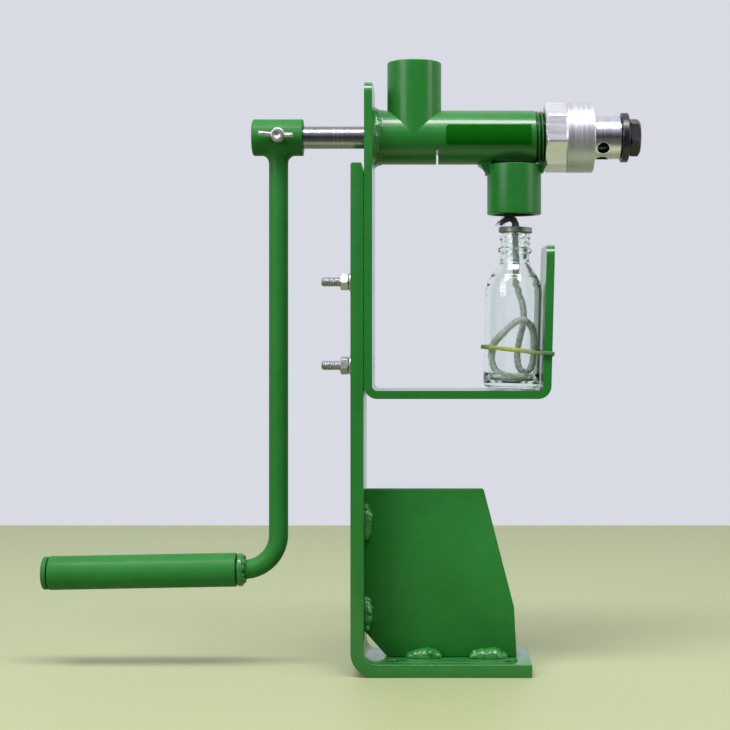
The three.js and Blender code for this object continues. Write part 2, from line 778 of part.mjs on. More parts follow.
// The band's loop: round the bottle's far side, then over the four corners of the
// arm's leg.  Its own centre is the bottle's axis.
function bandLoop(offset) {
  const legIn = ARM_INNER_RIGHT - BOTTLE.x;
  const legOut = ARM_INNER_RIGHT + ARM.thick + 0.6 - BOTTLE.x;
  const legY = BAR_WIDTH / 2 + GAP;
  const slack = BOTTLE.radius + 0.4;
  const tangent = Math.atan2(legY, legIn) + Math.acos(slack / Math.hypot(legIn, legY));
  const corner = offset + 0.5;
  const quarter = Math.PI / 2;
  const arcs = [
    [0, 0, slack + offset, tangent, 2 * Math.PI - tangent, 22],
    [legIn, -legY, corner, -tangent, -quarter, 1],
    [legOut, -legY, corner, -quarter, 0, 3],
    [legOut, legY, corner, 0, quarter, 3],
    [legIn, legY, corner, quarter, tangent, 1],
  ];
  const points = [];
  for (const [x, y, radius, from, to, steps] of arcs) {
    for (let i = 0; i <= steps; i++) {
      const angle = from + ((to - from) * i) / steps;
      points.push(new THREE.Vector2(x + radius * Math.cos(angle), y + radius * Math.sin(angle)));
    }
  }
  return new THREE.Shape(points);
}

function rubberBand() {
  const shape = bandLoop(BAND.thick);
  shape.holes.push(bandLoop(0));
  const loop = new THREE.ExtrudeGeometry(shape, { depth: BAND.height, bevelEnabled: false });
  return loop.translate(0, 0, -BAND.height / 2);
}

// ---------------------------------------------------------------- assembly
add("stand_bracket", standBracket(), ENAMEL);
add("gusset_plate", gussetPlate(), ENAMEL);
gussetWelds();
add("lamp_arm", lampArm(), ENAMEL);
screwStacks();

add("press_barrel", pressBarrel(), ENAMEL);
add("barrel_weld", barrelWeld(), ENAMEL);
add("feed_hopper", feedHopper(), ENAMEL);
hopperWelds();
add("flame_shroud", flameShroud(), ENAMEL);
add("shroud_weld_left", shroudWeld(-1, 5.6, 5.6), ENAMEL);
add("shroud_weld_right", shroudWeld(1, 1.3, 5), ENAMEL);
add("blank_label", blankLabel(), LABEL_FILM);

const press = new THREE.Group();
press.position.z = AXIS_Z;
part.add(press);
add("expeller_screw", expellerScrew(), STEEL, press);
add("thrust_washer", thrustWasher(), STEEL, press);
add("crank_hub", crankHub(), ENAMEL, press);
add("crank_arm", crankArm(), ENAMEL, press);
add("crank_weld", crankWeld(), ENAMEL, press);
add("wing_screw", wingScrew().translate(WING.x, 0, 0), ZINC, press);
const bushBore = ARM_ROD.radius + GAP;
add("grip_collar", onGrip(ring(bushBore, COLLAR.radius, COLLAR.left, COLLAR.right), 32), ENAMEL, press);
add("grip_sleeve", gripSleeve(), ENAMEL, press);
add("grip_end_cap", onGrip(bar(END_CAP.radius, END_CAP.left, END_CAP.right), 32), ENAMEL, press);
add("cap_nut", capNut(), STEEL, press);
add("press_head", pressHead(), STEEL, press);
const washerStart = HEAD.right + GAP;
const chokeWasher = turnedX(ring(CHOKE.tap, CHOKE.washer, washerStart, CHOKE.washerEnd), 32);
add("choke_washer", chokeWasher, BLACK, press);
add("choke_bolt", chokeBolt(), BLACK, press);

add("lamp_bottle", lampBottle(), GLASS, lamp);
add("wick_holder", wickHolder(), STEEL, lamp);
add("wick", wick(), COTTON, lamp);
const band = add("rubber_band", rubberBand(), RUBBER);
band.position.set(BOTTLE.x, 0, BAND.z);
band.rotation.y = THREE.MathUtils.degToRad(6);

export default part;
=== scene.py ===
"""The looks of a hand-cranked seed-oil press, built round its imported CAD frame.

Blender works in metres; the shapes below are written in millimetres in the frame of
the part (origin at the centre of the foot's underside, +X along the barrel, -Y to the
front, +Z up) and are scaled once, when a mesh is made.
"""

import math
import random

import bmesh
import bpy
from mathutils import Matrix, Vector, noise


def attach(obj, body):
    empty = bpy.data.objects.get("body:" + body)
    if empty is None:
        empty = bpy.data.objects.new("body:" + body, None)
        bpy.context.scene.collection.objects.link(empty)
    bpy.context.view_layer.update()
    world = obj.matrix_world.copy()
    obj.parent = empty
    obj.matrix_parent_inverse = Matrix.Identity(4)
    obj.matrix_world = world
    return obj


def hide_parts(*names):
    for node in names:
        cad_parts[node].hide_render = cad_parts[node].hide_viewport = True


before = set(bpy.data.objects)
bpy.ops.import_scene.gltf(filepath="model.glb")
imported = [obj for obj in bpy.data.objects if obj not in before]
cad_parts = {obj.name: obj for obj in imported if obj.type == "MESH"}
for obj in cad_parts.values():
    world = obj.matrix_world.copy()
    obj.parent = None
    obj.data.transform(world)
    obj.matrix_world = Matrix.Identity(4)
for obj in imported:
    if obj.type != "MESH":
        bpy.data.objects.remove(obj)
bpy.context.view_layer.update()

MM = 0.001
TAU = 2 * math.pi
scene = bpy.context.scene

# ---------------- camera
EYE = (-7.9, -950.0, 210.6)
PIXELS_PER_MM = 1.6  # in the plane y = 0, in a picture 730 wide
PICTURE = 730
AXIS_FROM_CENTRE = (64, -33)  # where the eye's own height and side fall, right and down

camera = bpy.data.objects.new("camera", bpy.data.cameras.new("camera"))
scene.collection.objects.link(camera)
camera.location = Vector(EYE) * MM
camera.rotation_euler = (math.radians(90), 0, 0)
camera.data.sensor_width = 36
camera.data.lens = PIXELS_PER_MM * -EYE[1] * camera.data.sensor_width / PICTURE
camera.data.shift_x = -AXIS_FROM_CENTRE[0] / PICTURE
camera.data.shift_y = AXIS_FROM_CENTRE[1] / PICTURE
scene.camera = camera


# ---------------- node helpers
def feed(node, inputs):
    """Gives each input its value, or links a socket to it."""
    for name, value in inputs.items():
        socket = node.inputs[name]
        if isinstance(value, bpy.types.NodeSocket):
            node.id_data.links.new(value, socket)
        elif socket.type == "RGBA":
            socket.default_value = (*value, 1)
        else:
            socket.default_value = value


def added(tree, kind, inputs, **settings):
    """A new shader node with its settings made and its inputs fed."""
    node = tree.nodes.new("ShaderNode" + kind)
    for name, value in settings.items():
        setattr(node, name, value)
    feed(node, inputs)
    return node


def nodes_of(name):
    material = bpy.data.materials.new(name)
    material.use_nodes = True
    tree = material.node_tree
    return material, tree, tree.nodes["Principled BSDF"]


def coordinates(tree, scale=(1, 1, 1), shift=(0, 0, 0)):
    """Object coordinates in metres, stretched along each axis and shifted."""
    place = added(tree, "TexCoord", {}).outputs["Object"]
    mapping = added(tree, "Mapping", {"Vector": place, "Scale": scale, "Location": shift})
    return mapping.outputs["Vector"]


def ranged(tree, value, low, high):
    """0 to 1 as a value goes from low to high."""
    node = added(tree, "MapRange", {"Value": value, "From Min": low, "From Max": high})
    return node.outputs["Result"]


def along_axis(tree, axis, low, high):
    """0 to 1 as the object's X, Y or Z goes from low to high, in metres."""
    split = added(tree, "SeparateXYZ", {"Vector": coordinates(tree)})
    return ranged(tree, split.outputs[axis], low, high)


def noise_at(tree, scale, detail=3.0, roughness=0.5, stretch=(1, 1, 1)):
    inputs = {"Scale": scale, "Detail": detail, "Roughness": roughness}
    return added(tree, "TexNoise", {**inputs, "Vector": coordinates(tree, stretch)}).outputs["Fac"]


def ramp(tree, source, stops):
    """A colour ramp; each stop is (position, colour or grey)."""
    node = added(tree, "ValToRGB", {"Fac": source})
    while len(node.color_ramp.elements) < len(stops):
        node.color_ramp.elements.new(0.5)
    for element, (position, value) in zip(node.color_ramp.elements, stops):
        element.position = position
        colour = (value,) * 3 if isinstance(value, (int, float)) else value
        element.color = (*colour, 1)
    return node.outputs["Color"]


def mixed(tree, factor, first, second, kind="MIX"):
    inputs = {0: factor, 6: first, 7: second}  # the factor and the two colours
    return added(tree, "Mix", inputs, data_type="RGBA", blend_type=kind).outputs[2]


def times(tree, first, second):
    return mixed(tree, 1.0, first, second, "MULTIPLY")


def bumped(tree, shader, heights):
    """Chains bumps; each is (height socket, strength, distance in metres)."""
    normal = {}
    for height, strength, distance in heights:
        inputs = {"Height": height, "Strength": strength, "Distance": distance}
        bump = added(tree, "Bump", {**inputs, **normal})
        normal = {"Normal": bump.outputs["Normal"]}
    feed(shader, normal)


# ---------------- materials
def enamel(name, orange_peel, coat, rough, shine, drawn=None):
    """Green paint, sprayed thick: slight pooling of colour and orange peel.  On a drawn
    tube the die lines show through it, running the way that drawn is small."""
    material, tree, shader = nodes_of(name)
    pool = noise_at(tree, 14, 4)
    base = ramp(tree, pool, [(0.3, (0.013, 0.150, 0.018)), (0.7, (0.018, 0.182, 0.024))])
    dusted = ramp(tree, noise_at(tree, 160, 5, 0.6), [(0.35, 0.92), (0.75, 1.06)])
    feed(shader, {
        "Base Color": times(tree, base, dusted),
        "Roughness": ramp(tree, noise_at(tree, 35, 4), [(0.3, rough[0]), (0.7, rough[1])]),
        "Coat Weight": coat,
        "Coat Roughness": 0.08,
        "Specular IOR Level": shine,
    })
    sag, peel = noise_at(tree, 55, 2), noise_at(tree, 420, 2)
    relief = [(sag, 0.25, 0.0006), (peel, orange_peel, 0.0002)]
    if drawn:
        relief.append((noise_at(tree, 6, 3, 0.6, drawn), 0.35, 0.0005))
    bumped(tree, shader, relief)
    return material


def shaded_in_grooves(material, axis_height, crest, root):
    """Darkens a painted pipe thread, along X, towards its roots: painted shade in its grooves.
    The bore, inside the roots, comes out dark too, like the pipe's unpainted inside.
    """
    tree = material.node_tree
    shader = tree.nodes["Principled BSDF"]
    painted = shader.inputs["Base Color"].links[0].from_socket
    centred = coordinates(tree, (0, 1, 1), (0, 0, -axis_height))
    radius = added(tree, "VectorMath", {0: centred}, operation="LENGTH").outputs["Value"]
    # Painted shade: darker the nearer a point lies to the thread's root, dark in the bore.
    shade = ramp(tree, ranged(tree, radius, root, crest), [(0.0, 0.06), (0.5, 0.28), (0.9, 1.0)])
    feed(shader, {"Base Color": times(tree, painted, shade)})
    return material


def steel(name, colour, rough, grain, grain_scale, bump, metallic=1.0):
    """Bright steel whose grain runs across the axis that grain stretches."""
    material, tree, shader = nodes_of(name)
    streak = noise_at(tree, grain_scale, 6, 0.6, grain)
    dark, light = [tuple(share * c for c in colour) for share in (0.86, 1.08)]
    tone = ramp(tree, streak, [(0.25, dark), (0.75, light)])
    stain = ramp(tree, noise_at(tree, 60, 4), [(0.35, 0.88), (0.7, 1.0)])
    feed(shader, {
        "Metallic": metallic,
        "Base Color": times(tree, tone, stain),
        "Roughness": ramp(tree, streak, [(0.3, rough[0]), (0.7, rough[1])]),
    })
    bumped(tree, shader, [(streak, bump, 0.0001)])
    return material


def black_oxide():
    material, tree, shader = nodes_of("black_oxide")
    wear = noise_at(tree, 240, 6, 0.65)
    feed(shader, {
        "Base Color": ramp(tree, wear, [
            (0.35, (0.003, 0.003, 0.004)), (0.62, (0.008, 0.008, 0.011)), (0.8, (0.05, 0.05, 0.06)),
        ]),
        "Specular IOR Level": 0.75,
        "Roughness": ramp(tree, wear, [(0.3, 0.27), (0.7, 0.42)]),
    })
    bumped(tree, shader, [(noise_at(tree, 900, 3), 0.25, 0.0001), (wear, 0.2, 0.0003)])
    return material


def glass():
    """Clear bottle glass with a green cast that shows where it is thick."""
    material, tree, shader = nodes_of("bottle_glass")
    feed(shader, {
        "Base Color": (0.97, 1.0, 0.985), "Transmission Weight": 1.0, "IOR": 1.5, "Roughness": 0.0,
    })
    bumped(tree, shader, [(noise_at(tree, 45, 2), 0.06, 0.0006)])
    cast = added(tree, "VolumeAbsorption", {"Color": (0.30, 0.84, 0.60), "Density": 2.5})
    feed(tree.nodes["Material Output"], {"Volume": cast.outputs[0]})
    return material


def cotton(name, top, middle, low, from_z=0.175, burnt_above=0.2778, to_z=0.285):
    """Braided cotton: burnt at its tip, wet in the bottle's neck and paler below it."""
    material, tree, shader = nodes_of(name)
    fibre = noise_at(tree, 900, 5, 0.7)
    burnt = (burnt_above - from_z) / (to_z - from_z)
    stops = [(0.50, low), (0.72, middle), (burnt - 0.05, middle), (burnt, top)]
    base = ramp(tree, along_axis(tree, "Z", from_z, to_z), stops)
    blotch = ramp(tree, noise_at(tree, 110, 4), [(0.35, 0.62), (0.65, 1.15)])
    shade = ramp(tree, fibre, [(0.3, 0.62), (0.7, 1.15)])
    feed(shader, {
        "Base Color": times(tree, times(tree, base, blotch), shade),
        "Roughness": 0.95,
        "Sheen Weight": 0.2,
    })
    bumped(tree, shader, [(fibre, 0.6, 0.0003)])
    return material


def film():
    material, tree, shader = nodes_of("label_film")
    greens = [(0.3, (0.0004, 0.080, 0.0004)), (0.7, (0.0007, 0.092, 0.0008))]
    feed(shader, {
        "Base Color": ramp(tree, noise_at(tree, 60, 3), greens),
        "Roughness": ramp(tree, noise_at(tree, 90, 3), [(0.3, 0.75), (0.7, 0.85)]),
        "Specular IOR Level": 0.06,
    })
    return material


def rubber():
    """A yellow band, darker towards both ends along X and greenish at its right end."""
    material, tree, shader = nodes_of("band_rubber")
    tone_along_x = ramp(tree, along_axis(tree, "X", 0.024, 0.068), [
        (0.0, (0.07, 0.09, 0.02)), (0.14, (0.26, 0.30, 0.04)), (0.45, (0.36, 0.41, 0.05)),
        (0.62, (0.26, 0.27, 0.06)), (0.84, (0.12, 0.17, 0.07)), (0.95, (0.05, 0.20, 0.08)),
    ])
    mottle = ramp(tree, noise_at(tree, 260, 4, 0.6), [(0.3, 0.7), (0.7, 1.15)])
    feed(shader, {
        "Base Color": times(tree, tone_along_x, mottle),
        "Roughness": ramp(tree, noise_at(tree, 300, 3), [(0.3, 0.45), (0.7, 0.7)]),
        "Subsurface Weight": 0.15,
        "Subsurface Scale": 0.001,
    })
    bumped(tree, shader, [(noise_at(tree, 700, 3, 0.5, (1, 1, 0.2)), 0.3, 0.0002)])
    return material


def holder_metal():
    """Dull metal, blackened in patches by soot."""
    material, tree, shader = nodes_of("holder_metal")
    soot = noise_at(tree, 220, 6, 0.65)
    feed(shader, {
        "Base Color": ramp(tree, soot, [
            (0.36, (0.05, 0.06, 0.055)), (0.5, (0.22, 0.235, 0.225)), (0.68, (0.42, 0.44, 0.43)),
        ]),
        "Metallic": 0.7,
        "Roughness": ramp(tree, soot, [(0.3, 0.6), (0.7, 0.42)]),
    })
    bumped(tree, shader, [(soot, 0.35, 0.0003)])
    return material


ENAMEL = enamel("green_enamel", 0.12, 0.55, (0.24, 0.36), 0.5)
WELD_ENAMEL = enamel("green_enamel_weld", 0.2, 0.35, (0.3, 0.42), 0.5)
SATIN_ENAMEL = enamel("green_enamel_satin", 0.12, 0.04, (0.48, 0.6), 0.26)
TUBE_ENAMEL = enamel("green_enamel_tube", 0.12, 0.08, (0.3, 0.46), 0.3, (60, 60, 1))
BARREL_ENAMEL = enamel("green_enamel_barrel", 0.10, 0.4, (0.26, 0.4), 0.45, (1, 60, 60))
# Painted shade in the barrel's thread grooves; the bore comes out dark as well.
shaded_in_grooves(BARREL_ENAMEL, 0.332, 0.01672, 0.0156)
ROUND_X, FINE_ROUND_X = (60, 1, 1), (70, 1, 1)  # grain left by turning about X
SHAFT_STEEL = steel("ground_steel", (0.42, 0.40, 0.435), (0.16, 0.30), ROUND_X, 12, 0.12)
TURNED_STEEL = steel("turned_steel", (0.68, 0.68, 0.73), (0.30, 0.50), FINE_ROUND_X, 10, 0.4, 0.8)
MILLED_STEEL = steel("milled_steel", (0.93, 0.93, 0.96), (0.28, 0.34), (1, 14, 14), 26, 0.03, 0.9)
POLISHED_STEEL = steel("polished_steel", (0.86, 0.86, 0.92), (0.18, 0.30), FINE_ROUND_X, 10, 0.12)
ZINC = steel("zinc", (0.62, 0.61, 0.60), (0.34, 0.5), (2, 2, 2), 160, 0.05)
BLACK = black_oxide()
GLASS = glass()
WICK = cotton("wick_cotton", (0.085, 0.115, 0.095), (0.30, 0.35, 0.325), (0.54, 0.60, 0.565))
FILM = film()
RUBBER = rubber()
HOLDER = holder_metal()


# ---------------- mesh helpers
def new_object(name, vertices, faces):
    """An object from points in millimetres, its faces turned outwards."""
    data = bpy.data.meshes.new(name)
    data.from_pydata([tuple(MM * c for c in v) for v in vertices], [], faces)
    work = bmesh.new()
    work.from_mesh(data)
    bmesh.ops.recalc_face_normals(work, faces=work.faces)
    work.to_mesh(data)
    work.free()
    obj = bpy.data.objects.new(name, data)
    scene.collection.objects.link(obj)
    return obj


def applied(obj):
    """Turns the object's modifiers into its mesh."""
    graph = bpy.context.evaluated_depsgraph_get()
    mesh = bpy.data.meshes.new_from_object(obj.evaluated_get(graph))
    old = obj.data
    obj.modifiers.clear()
    obj.data = mesh
    bpy.data.meshes.remove(old)
    return obj


def boolean(obj, tools, operation="DIFFERENCE"):
    for tool in tools:
        modifier = obj.modifiers.new("cut", "BOOLEAN")
        modifier.operation = operation
        modifier.solver = "EXACT"
        modifier.object = tool
    applied(obj)
    for tool in tools:
        bpy.data.objects.remove(tool)
    return obj


def softened(obj, width, segments=3, angle=30):
    """Rounds every edge sharper than angle."""
    modifier = obj.modifiers.new("soft", "BEVEL")
    modifier.width = width * MM
    modifier.segments = segments
    modifier.limit_method = "ANGLE"
    modifier.angle_limit = math.radians(angle)
    modifier.use_clamp_overlap = True
    return applied(obj)


def piece(obj, body, look, sharp=32, stands_in=True):
    """Finishes a piece: shading, material, body and slot.  It stands in for the CAD node
    whose name it was made with, to which Blender may have added a number."""
    obj.data.shade_smooth()
    obj.data.set_sharp_from_angle(angle=math.radians(sharp))
    obj.data.materials.clear()
    obj.data.materials.append(look)
    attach(obj, body)
    if stands_in:
        node = obj.name.split(".")[0]
        obj.name = f"{node}_look"
        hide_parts(node)
    return obj


def painted(obj, look=ENAMEL, sharp=32, body="frame"):
    return piece(obj, body, look, sharp)


def tube_faces(rows, sides, closed=False, caps=False):
    """Faces between rows of vertices that follow each other, each row a ring."""
    faces = []
    for i in range(rows if closed else rows - 1):
        a, b = i * sides, ((i + 1) % rows) * sides
        faces += [(a + k, a + (k + 1) % sides, b + (k + 1) % sides, b + k) for k in range(sides)]
    if caps:
        last = rows * sides
        faces += [tuple(range(sides)), tuple(range(last - 1, last - sides - 1, -1))]
    return faces


def filleted(corners, closed=True, steps=6):
    """A polyline whose corners (x, y, radius) are rounded; the radius may be left out."""
    points = [Vector(c[:2]) for c in corners]
    radii = [c[2] if len(c) > 2 else 0 for c in corners]
    out = []
    count = len(points)
    for i, (point, radius) in enumerate(zip(points, radii)):
        at_end = not closed and i in (0, count - 1)
        if radius <= 0 or at_end:
            out.append(tuple(point))
            continue
        before = points[i - 1] - point
        after = points[(i + 1) % count] - point
        half = before.angle(after) / 2
        reach = min(radius / math.tan(half), 0.499 * before.length, 0.499 * after.length)
        radius = reach * math.tan(half)
        before.normalize()
        after.normalize()
        centre = point + (before + after).normalized() * (radius / math.sin(half))
        start = point + before * reach - centre
        end = point + after * reach - centre
        sweep = math.pi - 2 * half
        turn = 1 if start.x * end.y - start.y * end.x > 0 else -1
        for k in range(steps + 1):
            angle = turn * sweep * k / steps
            cos, sin = math.cos(angle), math.sin(angle)
            across, up = start.x * cos - start.y * sin, start.x * sin + start.y * cos
            out.append((centre.x + across, centre.y + up))
    return out


def ring_profile(inner, outer, low, high, radii):
    """The section of a tube or washer; radii round its corners, starting inside at low."""
    corners = ((inner, low), (outer, low), (outer, high), (inner, high))
    return filleted([(*corner, radius) for corner, radius in zip(corners, radii)])


def finer(profile, step, closed):
    """The polyline with points no further apart than step along its length."""
    out = []
    pairs = list(zip(profile, profile[1:]))
    if closed:
        pairs.append((profile[-1], profile[0]))
    for a, b in pairs:
        parts = max(1, math.ceil(math.dist(a, b) / step))
        out += [tuple(p + (q - p) * k / parts for p, q in zip(a, b)) for k in range(parts)]
    if not closed:
        out.append(profile[-1])
    return out


def turned(name, profile, axis="X", origin=(0, 0, 0), sides=96, closed=True, shape=None):
    """A body of revolution.  The profile holds (radius, distance along the axis); shape
    may change a radius by its distance and angle.  Angles start at -Y on an X axis."""
    vertices, rings = [], []
    for radius, along in profile:
        if radius < 1e-6:
            rings.append([len(vertices)])
            places = [(0.0, 0.0)]
        else:
            rings.append(list(range(len(vertices), len(vertices) + sides)))
            places = []
            for k in range(sides):
                angle = TAU * k / sides
                r = shape(radius, along, angle) if shape else radius
                places.append((r * math.cos(angle), r * math.sin(angle)))
        for u, v in places:
            if axis == "X":
                vertices.append((origin[0] + along, origin[1] - u, origin[2] + v))
            else:
                vertices.append((origin[0] + u, origin[1] + v, origin[2] + along))
    faces = []
    pairs = list(zip(rings, rings[1:]))
    if closed:
        pairs.append((rings[-1], rings[0]))
    for a, b in pairs:
        for k in range(sides):
            n = (k + 1) % sides
            if len(a) > 1 and len(b) > 1:
                faces.append((a[k], a[n], b[n], b[k]))
            elif len(b) > 1:
                faces.append((a[0], b[n], b[k]))
            elif len(a) > 1:
                faces.append((a[k], a[n], b[0]))
    return new_object(name, vertices, faces)


def plated(name, outline, low, high, plane="XZ"):
    """An outline in a plane, given thickness from low to high across it."""
    def place(point, depth):
        u, v = point
        return {"XZ": (u, depth, v), "YZ": (depth, u, v), "XY": (u, v, depth)}[plane]

    vertices = [place(p, low) for p in outline] + [place(p, high) for p in outline]
    return new_object(name, vertices, tube_faces(2, len(outline), caps=True))


def rod(name, radius, a, b, sides=48):
    """A plain round tool from a to b, for cutting."""
    a, b = Vector(a), Vector(b)
    turn = (b - a).to_track_quat("Z", "Y").to_matrix()
    vertices = []
    for end in (a, b):
        for k in range(sides):
            angle = TAU * k / sides
            out = Vector((radius * math.cos(angle), radius * math.sin(angle), 0))
            vertices.append(end + turn @ out)
    return new_object(name, vertices, tube_faces(2, sides, caps=True))


def brick(name, low, high):
    """A plain box-shaped tool, for cutting."""
    (x0, y0, z0), (x1, y1, z1) = low, high
    outline = [(x0, z0), (x1, z0), (x1, z1), (x0, z1)]
    return plated(name, outline, y0, y1)


def spline(points, per_span=8):
    """A smooth centripetal line through the points."""
    points = [Vector(p) for p in points]
    points = [2 * points[0] - points[1], *points, 2 * points[-1] - points[-2]]
    out = []
    for p0, p1, p2, p3 in zip(points, points[1:], points[2:], points[3:]):
        t1 = (p1 - p0).length ** 0.5
        t2 = t1 + (p2 - p1).length ** 0.5
        t3 = t2 + (p3 - p2).length ** 0.5
        for k in range(per_span):
            t = t1 + (t2 - t1) * k / per_span
            a1 = p0 * ((t1 - t) / t1) + p1 * (t / t1)
            a2 = p1 * ((t2 - t) / (t2 - t1)) + p2 * ((t - t1) / (t2 - t1))
            a3 = p2 * ((t3 - t) / (t3 - t2)) + p3 * ((t - t2) / (t3 - t2))
            b1 = a1 * ((t2 - t) / t2) + a2 * (t / t2)
            b2 = a2 * ((t3 - t) / (t3 - t1)) + a3 * ((t - t1) / (t3 - t1))
            out.append(b1 * ((t2 - t) / (t2 - t1)) + b2 * ((t - t1) / (t2 - t1)))
    out.append(points[-2].copy())
    return out


def evenly(points, step, closed=False):
    """The line again with even steps."""
    line = [Vector(p) for p in points]
    if closed:
        line.append(line[0])
    lengths = [0.0]
    for a, b in zip(line, line[1:]):
        lengths.append(lengths[-1] + (b - a).length)
    count = max(2, round(lengths[-1] / step))
    out, j = [], 0
    for i in range(count if closed else count + 1):
        want = lengths[-1] * i / count
        while j < len(lengths) - 2 and lengths[j + 1] < want:
            j += 1
        share = (want - lengths[j]) / max(lengths[j + 1] - lengths[j], 1e-9)
        out.append(line[j].lerp(line[j + 1], min(share, 1.0)))
    return out


def carried(line):
    """For each point of a line, two directions across it that turn as little as possible."""
    out = []
    side = None
    for i in range(len(line)):
        ahead = (line[min(i + 1, len(line) - 1)] - line[max(i - 1, 0)]).normalized()
        if side is None:
            helper = Vector((0, 0, 1)) if abs(ahead.z) < 0.9 else Vector((1, 0, 0))
            side = ahead.cross(helper).normalized()
        side = (side - ahead * side.dot(ahead)).normalized()
        out.append((side, ahead.cross(side)))
    return out


def swept(name, line, section):
    """A tube: section(i, count) gives the cross-section's (across, up) points at step i."""
    vertices = []
    count = len(line)
    for i, (point, (side, up)) in enumerate(zip(line, carried(line))):
        ring = section(i, count)
        vertices += [point + side * u + up * v for u, v in ring]
    return new_object(name, vertices, tube_faces(count, len(ring), caps=True))


def ring_of(radius, sides):
    angles = [TAU * k / sides for k in range(sides)]
    return [(radius * math.cos(a), radius * math.sin(a)) for a in angles]


def noise_round(scale, angle, along):
    """Noise that meets itself once round an axis."""
    return noise.noise(Vector((scale * math.cos(angle), scale * math.sin(angle), along)))


def joined(name, objects):
    """Several objects' meshes in one object."""
    work = bmesh.new()
    for obj in objects:
        work.from_mesh(obj.data)
    data = bpy.data.meshes.new(name)
    work.to_mesh(data)
    work.free()
    for obj in objects:
        bpy.data.objects.remove(obj)
    merged = bpy.data.objects.new(name, data)
    scene.collection.objects.link(merged)
    return merged


def melted(name, objects, voxel, rounds=3):
    """Overlapping solids run together into one skin, as weld metal does."""
    merged = joined(name, objects)
    remesh = merged.modifiers.new("remesh", "REMESH")
    remesh.mode = "VOXEL"
    remesh.voxel_size = voxel * MM
    smooth = merged.modifiers.new("smooth", "SMOOTH")
    smooth.factor = 0.5
    smooth.iterations = rounds
    return applied(merged)


def blob(centre, radius):
    """A round lump, the unit that weld beads are made of."""
    work = bmesh.new()
    bmesh.ops.create_icosphere(work, subdivisions=2, radius=radius)
    for vertex in work.verts:
        vertex.co += Vector(centre)
    vertices = [tuple(v.co) for v in work.verts]
    faces = [tuple(v.index for v in f.verts) for f in work.faces]
    work.free()
    return new_object("blob", vertices, faces)


# ---------------- the wick, a limp cord
AXIS_Z = 332.0
LAMP = Vector((43.5, 0, 175.3))  # the centre of the bottle's foot
LAMP_LEAN = Matrix.Rotation(math.radians(1.5), 3, "Y")
WICK_DIAMETER = 4.0
WICK_STEP = 0.35
BRAID_PITCH = 7
WICK_ROUTE = [  # from the burnt tip, through the holder, to the bottle's floor
    (-9.6, -3.2, 101.8), (-7.9, -2.6, 104.2), (-5.4, -1.8, 105.9), (-2.6, -0.8, 106.0),
    (-0.6, -0.2, 104.2), (0.1, 0, 101.2), (0.1, 0, 97), (0.1, 0, 92.5), (0.6, 0, 86),
    (1.0, 0, 78), (0.9, 0.4, 71), (1.5, 1.2, 65), (3.7, 2.6, 59), (6.0, 4.2, 52.5),
    (7.0, 5.8, 45.5), (6.4, 7.4, 38), (5.0, 8.8, 31), (4.0, 10.0, 24.5), (4.0, 10.2, 18.5),
    (5.2, 8.6, 13.2), (7.8, 5.2, 10.2), (10.6, 1.4, 11.0), (12.4, -1.4, 15.4),
    (13.1, -2.8, 21.5), (13.1, -3.4, 28.5), (12.4, -4.2, 35), (10.4, -5.4, 39.8),
    (7.0, -6.6, 42.4), (3.0, -7.6, 42.4), (-0.8, -8.4, 40), (-4.6, -8.8, 36.2),
    (-8.4, -8.4, 32.2), (-11.4, -7.0, 28), (-12.5, -5.2, 22.4), (-12.4, -5.0, 16.4),
    (-10.0, -6.2, 11.4), (-6.0, -7.8, 8.8), (-0.6, -9.0, 7.5), (5.0, -9.4, 7.2), (9.6, -7.6, 8.0),
]


def in_lamp(point):
    """A point measured from the bottle's foot, in the frame of the part."""
    return LAMP + LAMP_LEAN @ Vector(point)


def braided_wick():
    line = evenly(spline([in_lamp(p) for p in WICK_ROUTE]), WICK_STEP)
    sides = 28
    half = WICK_DIAMETER / 2

    def section(i, count):
        along = i * WICK_STEP
        wind = TAU * along / BRAID_PITCH
        swell = 0.05 * math.sin(along / 5.3) + 0.03 * math.sin(along / 1.9)
        end = min(1.0, 0.42 + 0.58 * along / 9, 0.55 + 0.45 * (count - 1 - i) / 4)
        points = []
        for k in range(sides):
            angle = TAU * k / sides
            tuck = 0.13 * math.sin(4 * angle + wind) * math.sin(4 * angle - wind)
            fuzz = 0.09 * noise_round(3, angle, along * 1.3)
            radius = half * end * (0.97 + tuck + fuzz + swell)
            points.append((radius * math.cos(angle), radius * math.sin(angle)))
        return points

    return swept("wick", line, section), line


def charred_tip():
    """The burnt end: loose threads curling out of the wick's tip."""
    chance = random.Random(8)
    uniform = chance.uniform
    threads = []
    root = in_lamp(WICK_ROUTE[3])
    for _ in range(46):
        spread, reach = uniform(-1, 1), uniform(0.4, 1.0)
        start = root + Vector((uniform(-0.6, 2.6), uniform(-1.3, 1.3), uniform(-1.4, 0.9)))
        points = []
        for k in range(7):
            t = k / 6
            points.append(start + Vector((
                -reach * 10.5 * t + uniform(-0.25, 0.25),
                spread * 4.2 * t * t + uniform(-0.2, 0.2),
                0.9 * math.sin(2.2 * t) - (1.6 + 4.4 * abs(spread)) * reach * t * t,
            )))
        line = evenly(spline(points, per_span=5), 0.4)
        thick = uniform(0.2, 0.38)
        taper = lambda i, count: ring_of(thick * (1 - 0.6 * i / count), 6)
        threads.append(swept("thread", line, taper))
    return joined("wick_tip", threads)


wick, wick_line = braided_wick()
piece(wick, "frame", WICK, 80)
wick_tip = charred_tip()
piece(wick_tip, "frame", WICK, 80, stands_in=False)


# ---------------- stand and gusset
BAR = 25.0  # half the flat bars' width
STAND_LEFT, STAND_FACE, STAND_RIGHT, STAND_TOP = -55.8, -47.8, 55.0, 314.0
FOOT_THICK = 8.0
FOOT_HOLES = [(x, y) for x in (-30, 42) for y in (-13.5, 13.5)]
GUSSET_HALF, GUSSET_TOP = 3, 112.7
GAP = 0.3  # between fixed pieces that touch
M6_HOLE = 3.3
SCREW_LEVELS = {"lower": 189.7, "upper": 241.9}
NUT_TURNS = {"lower": -18, "upper": -5}


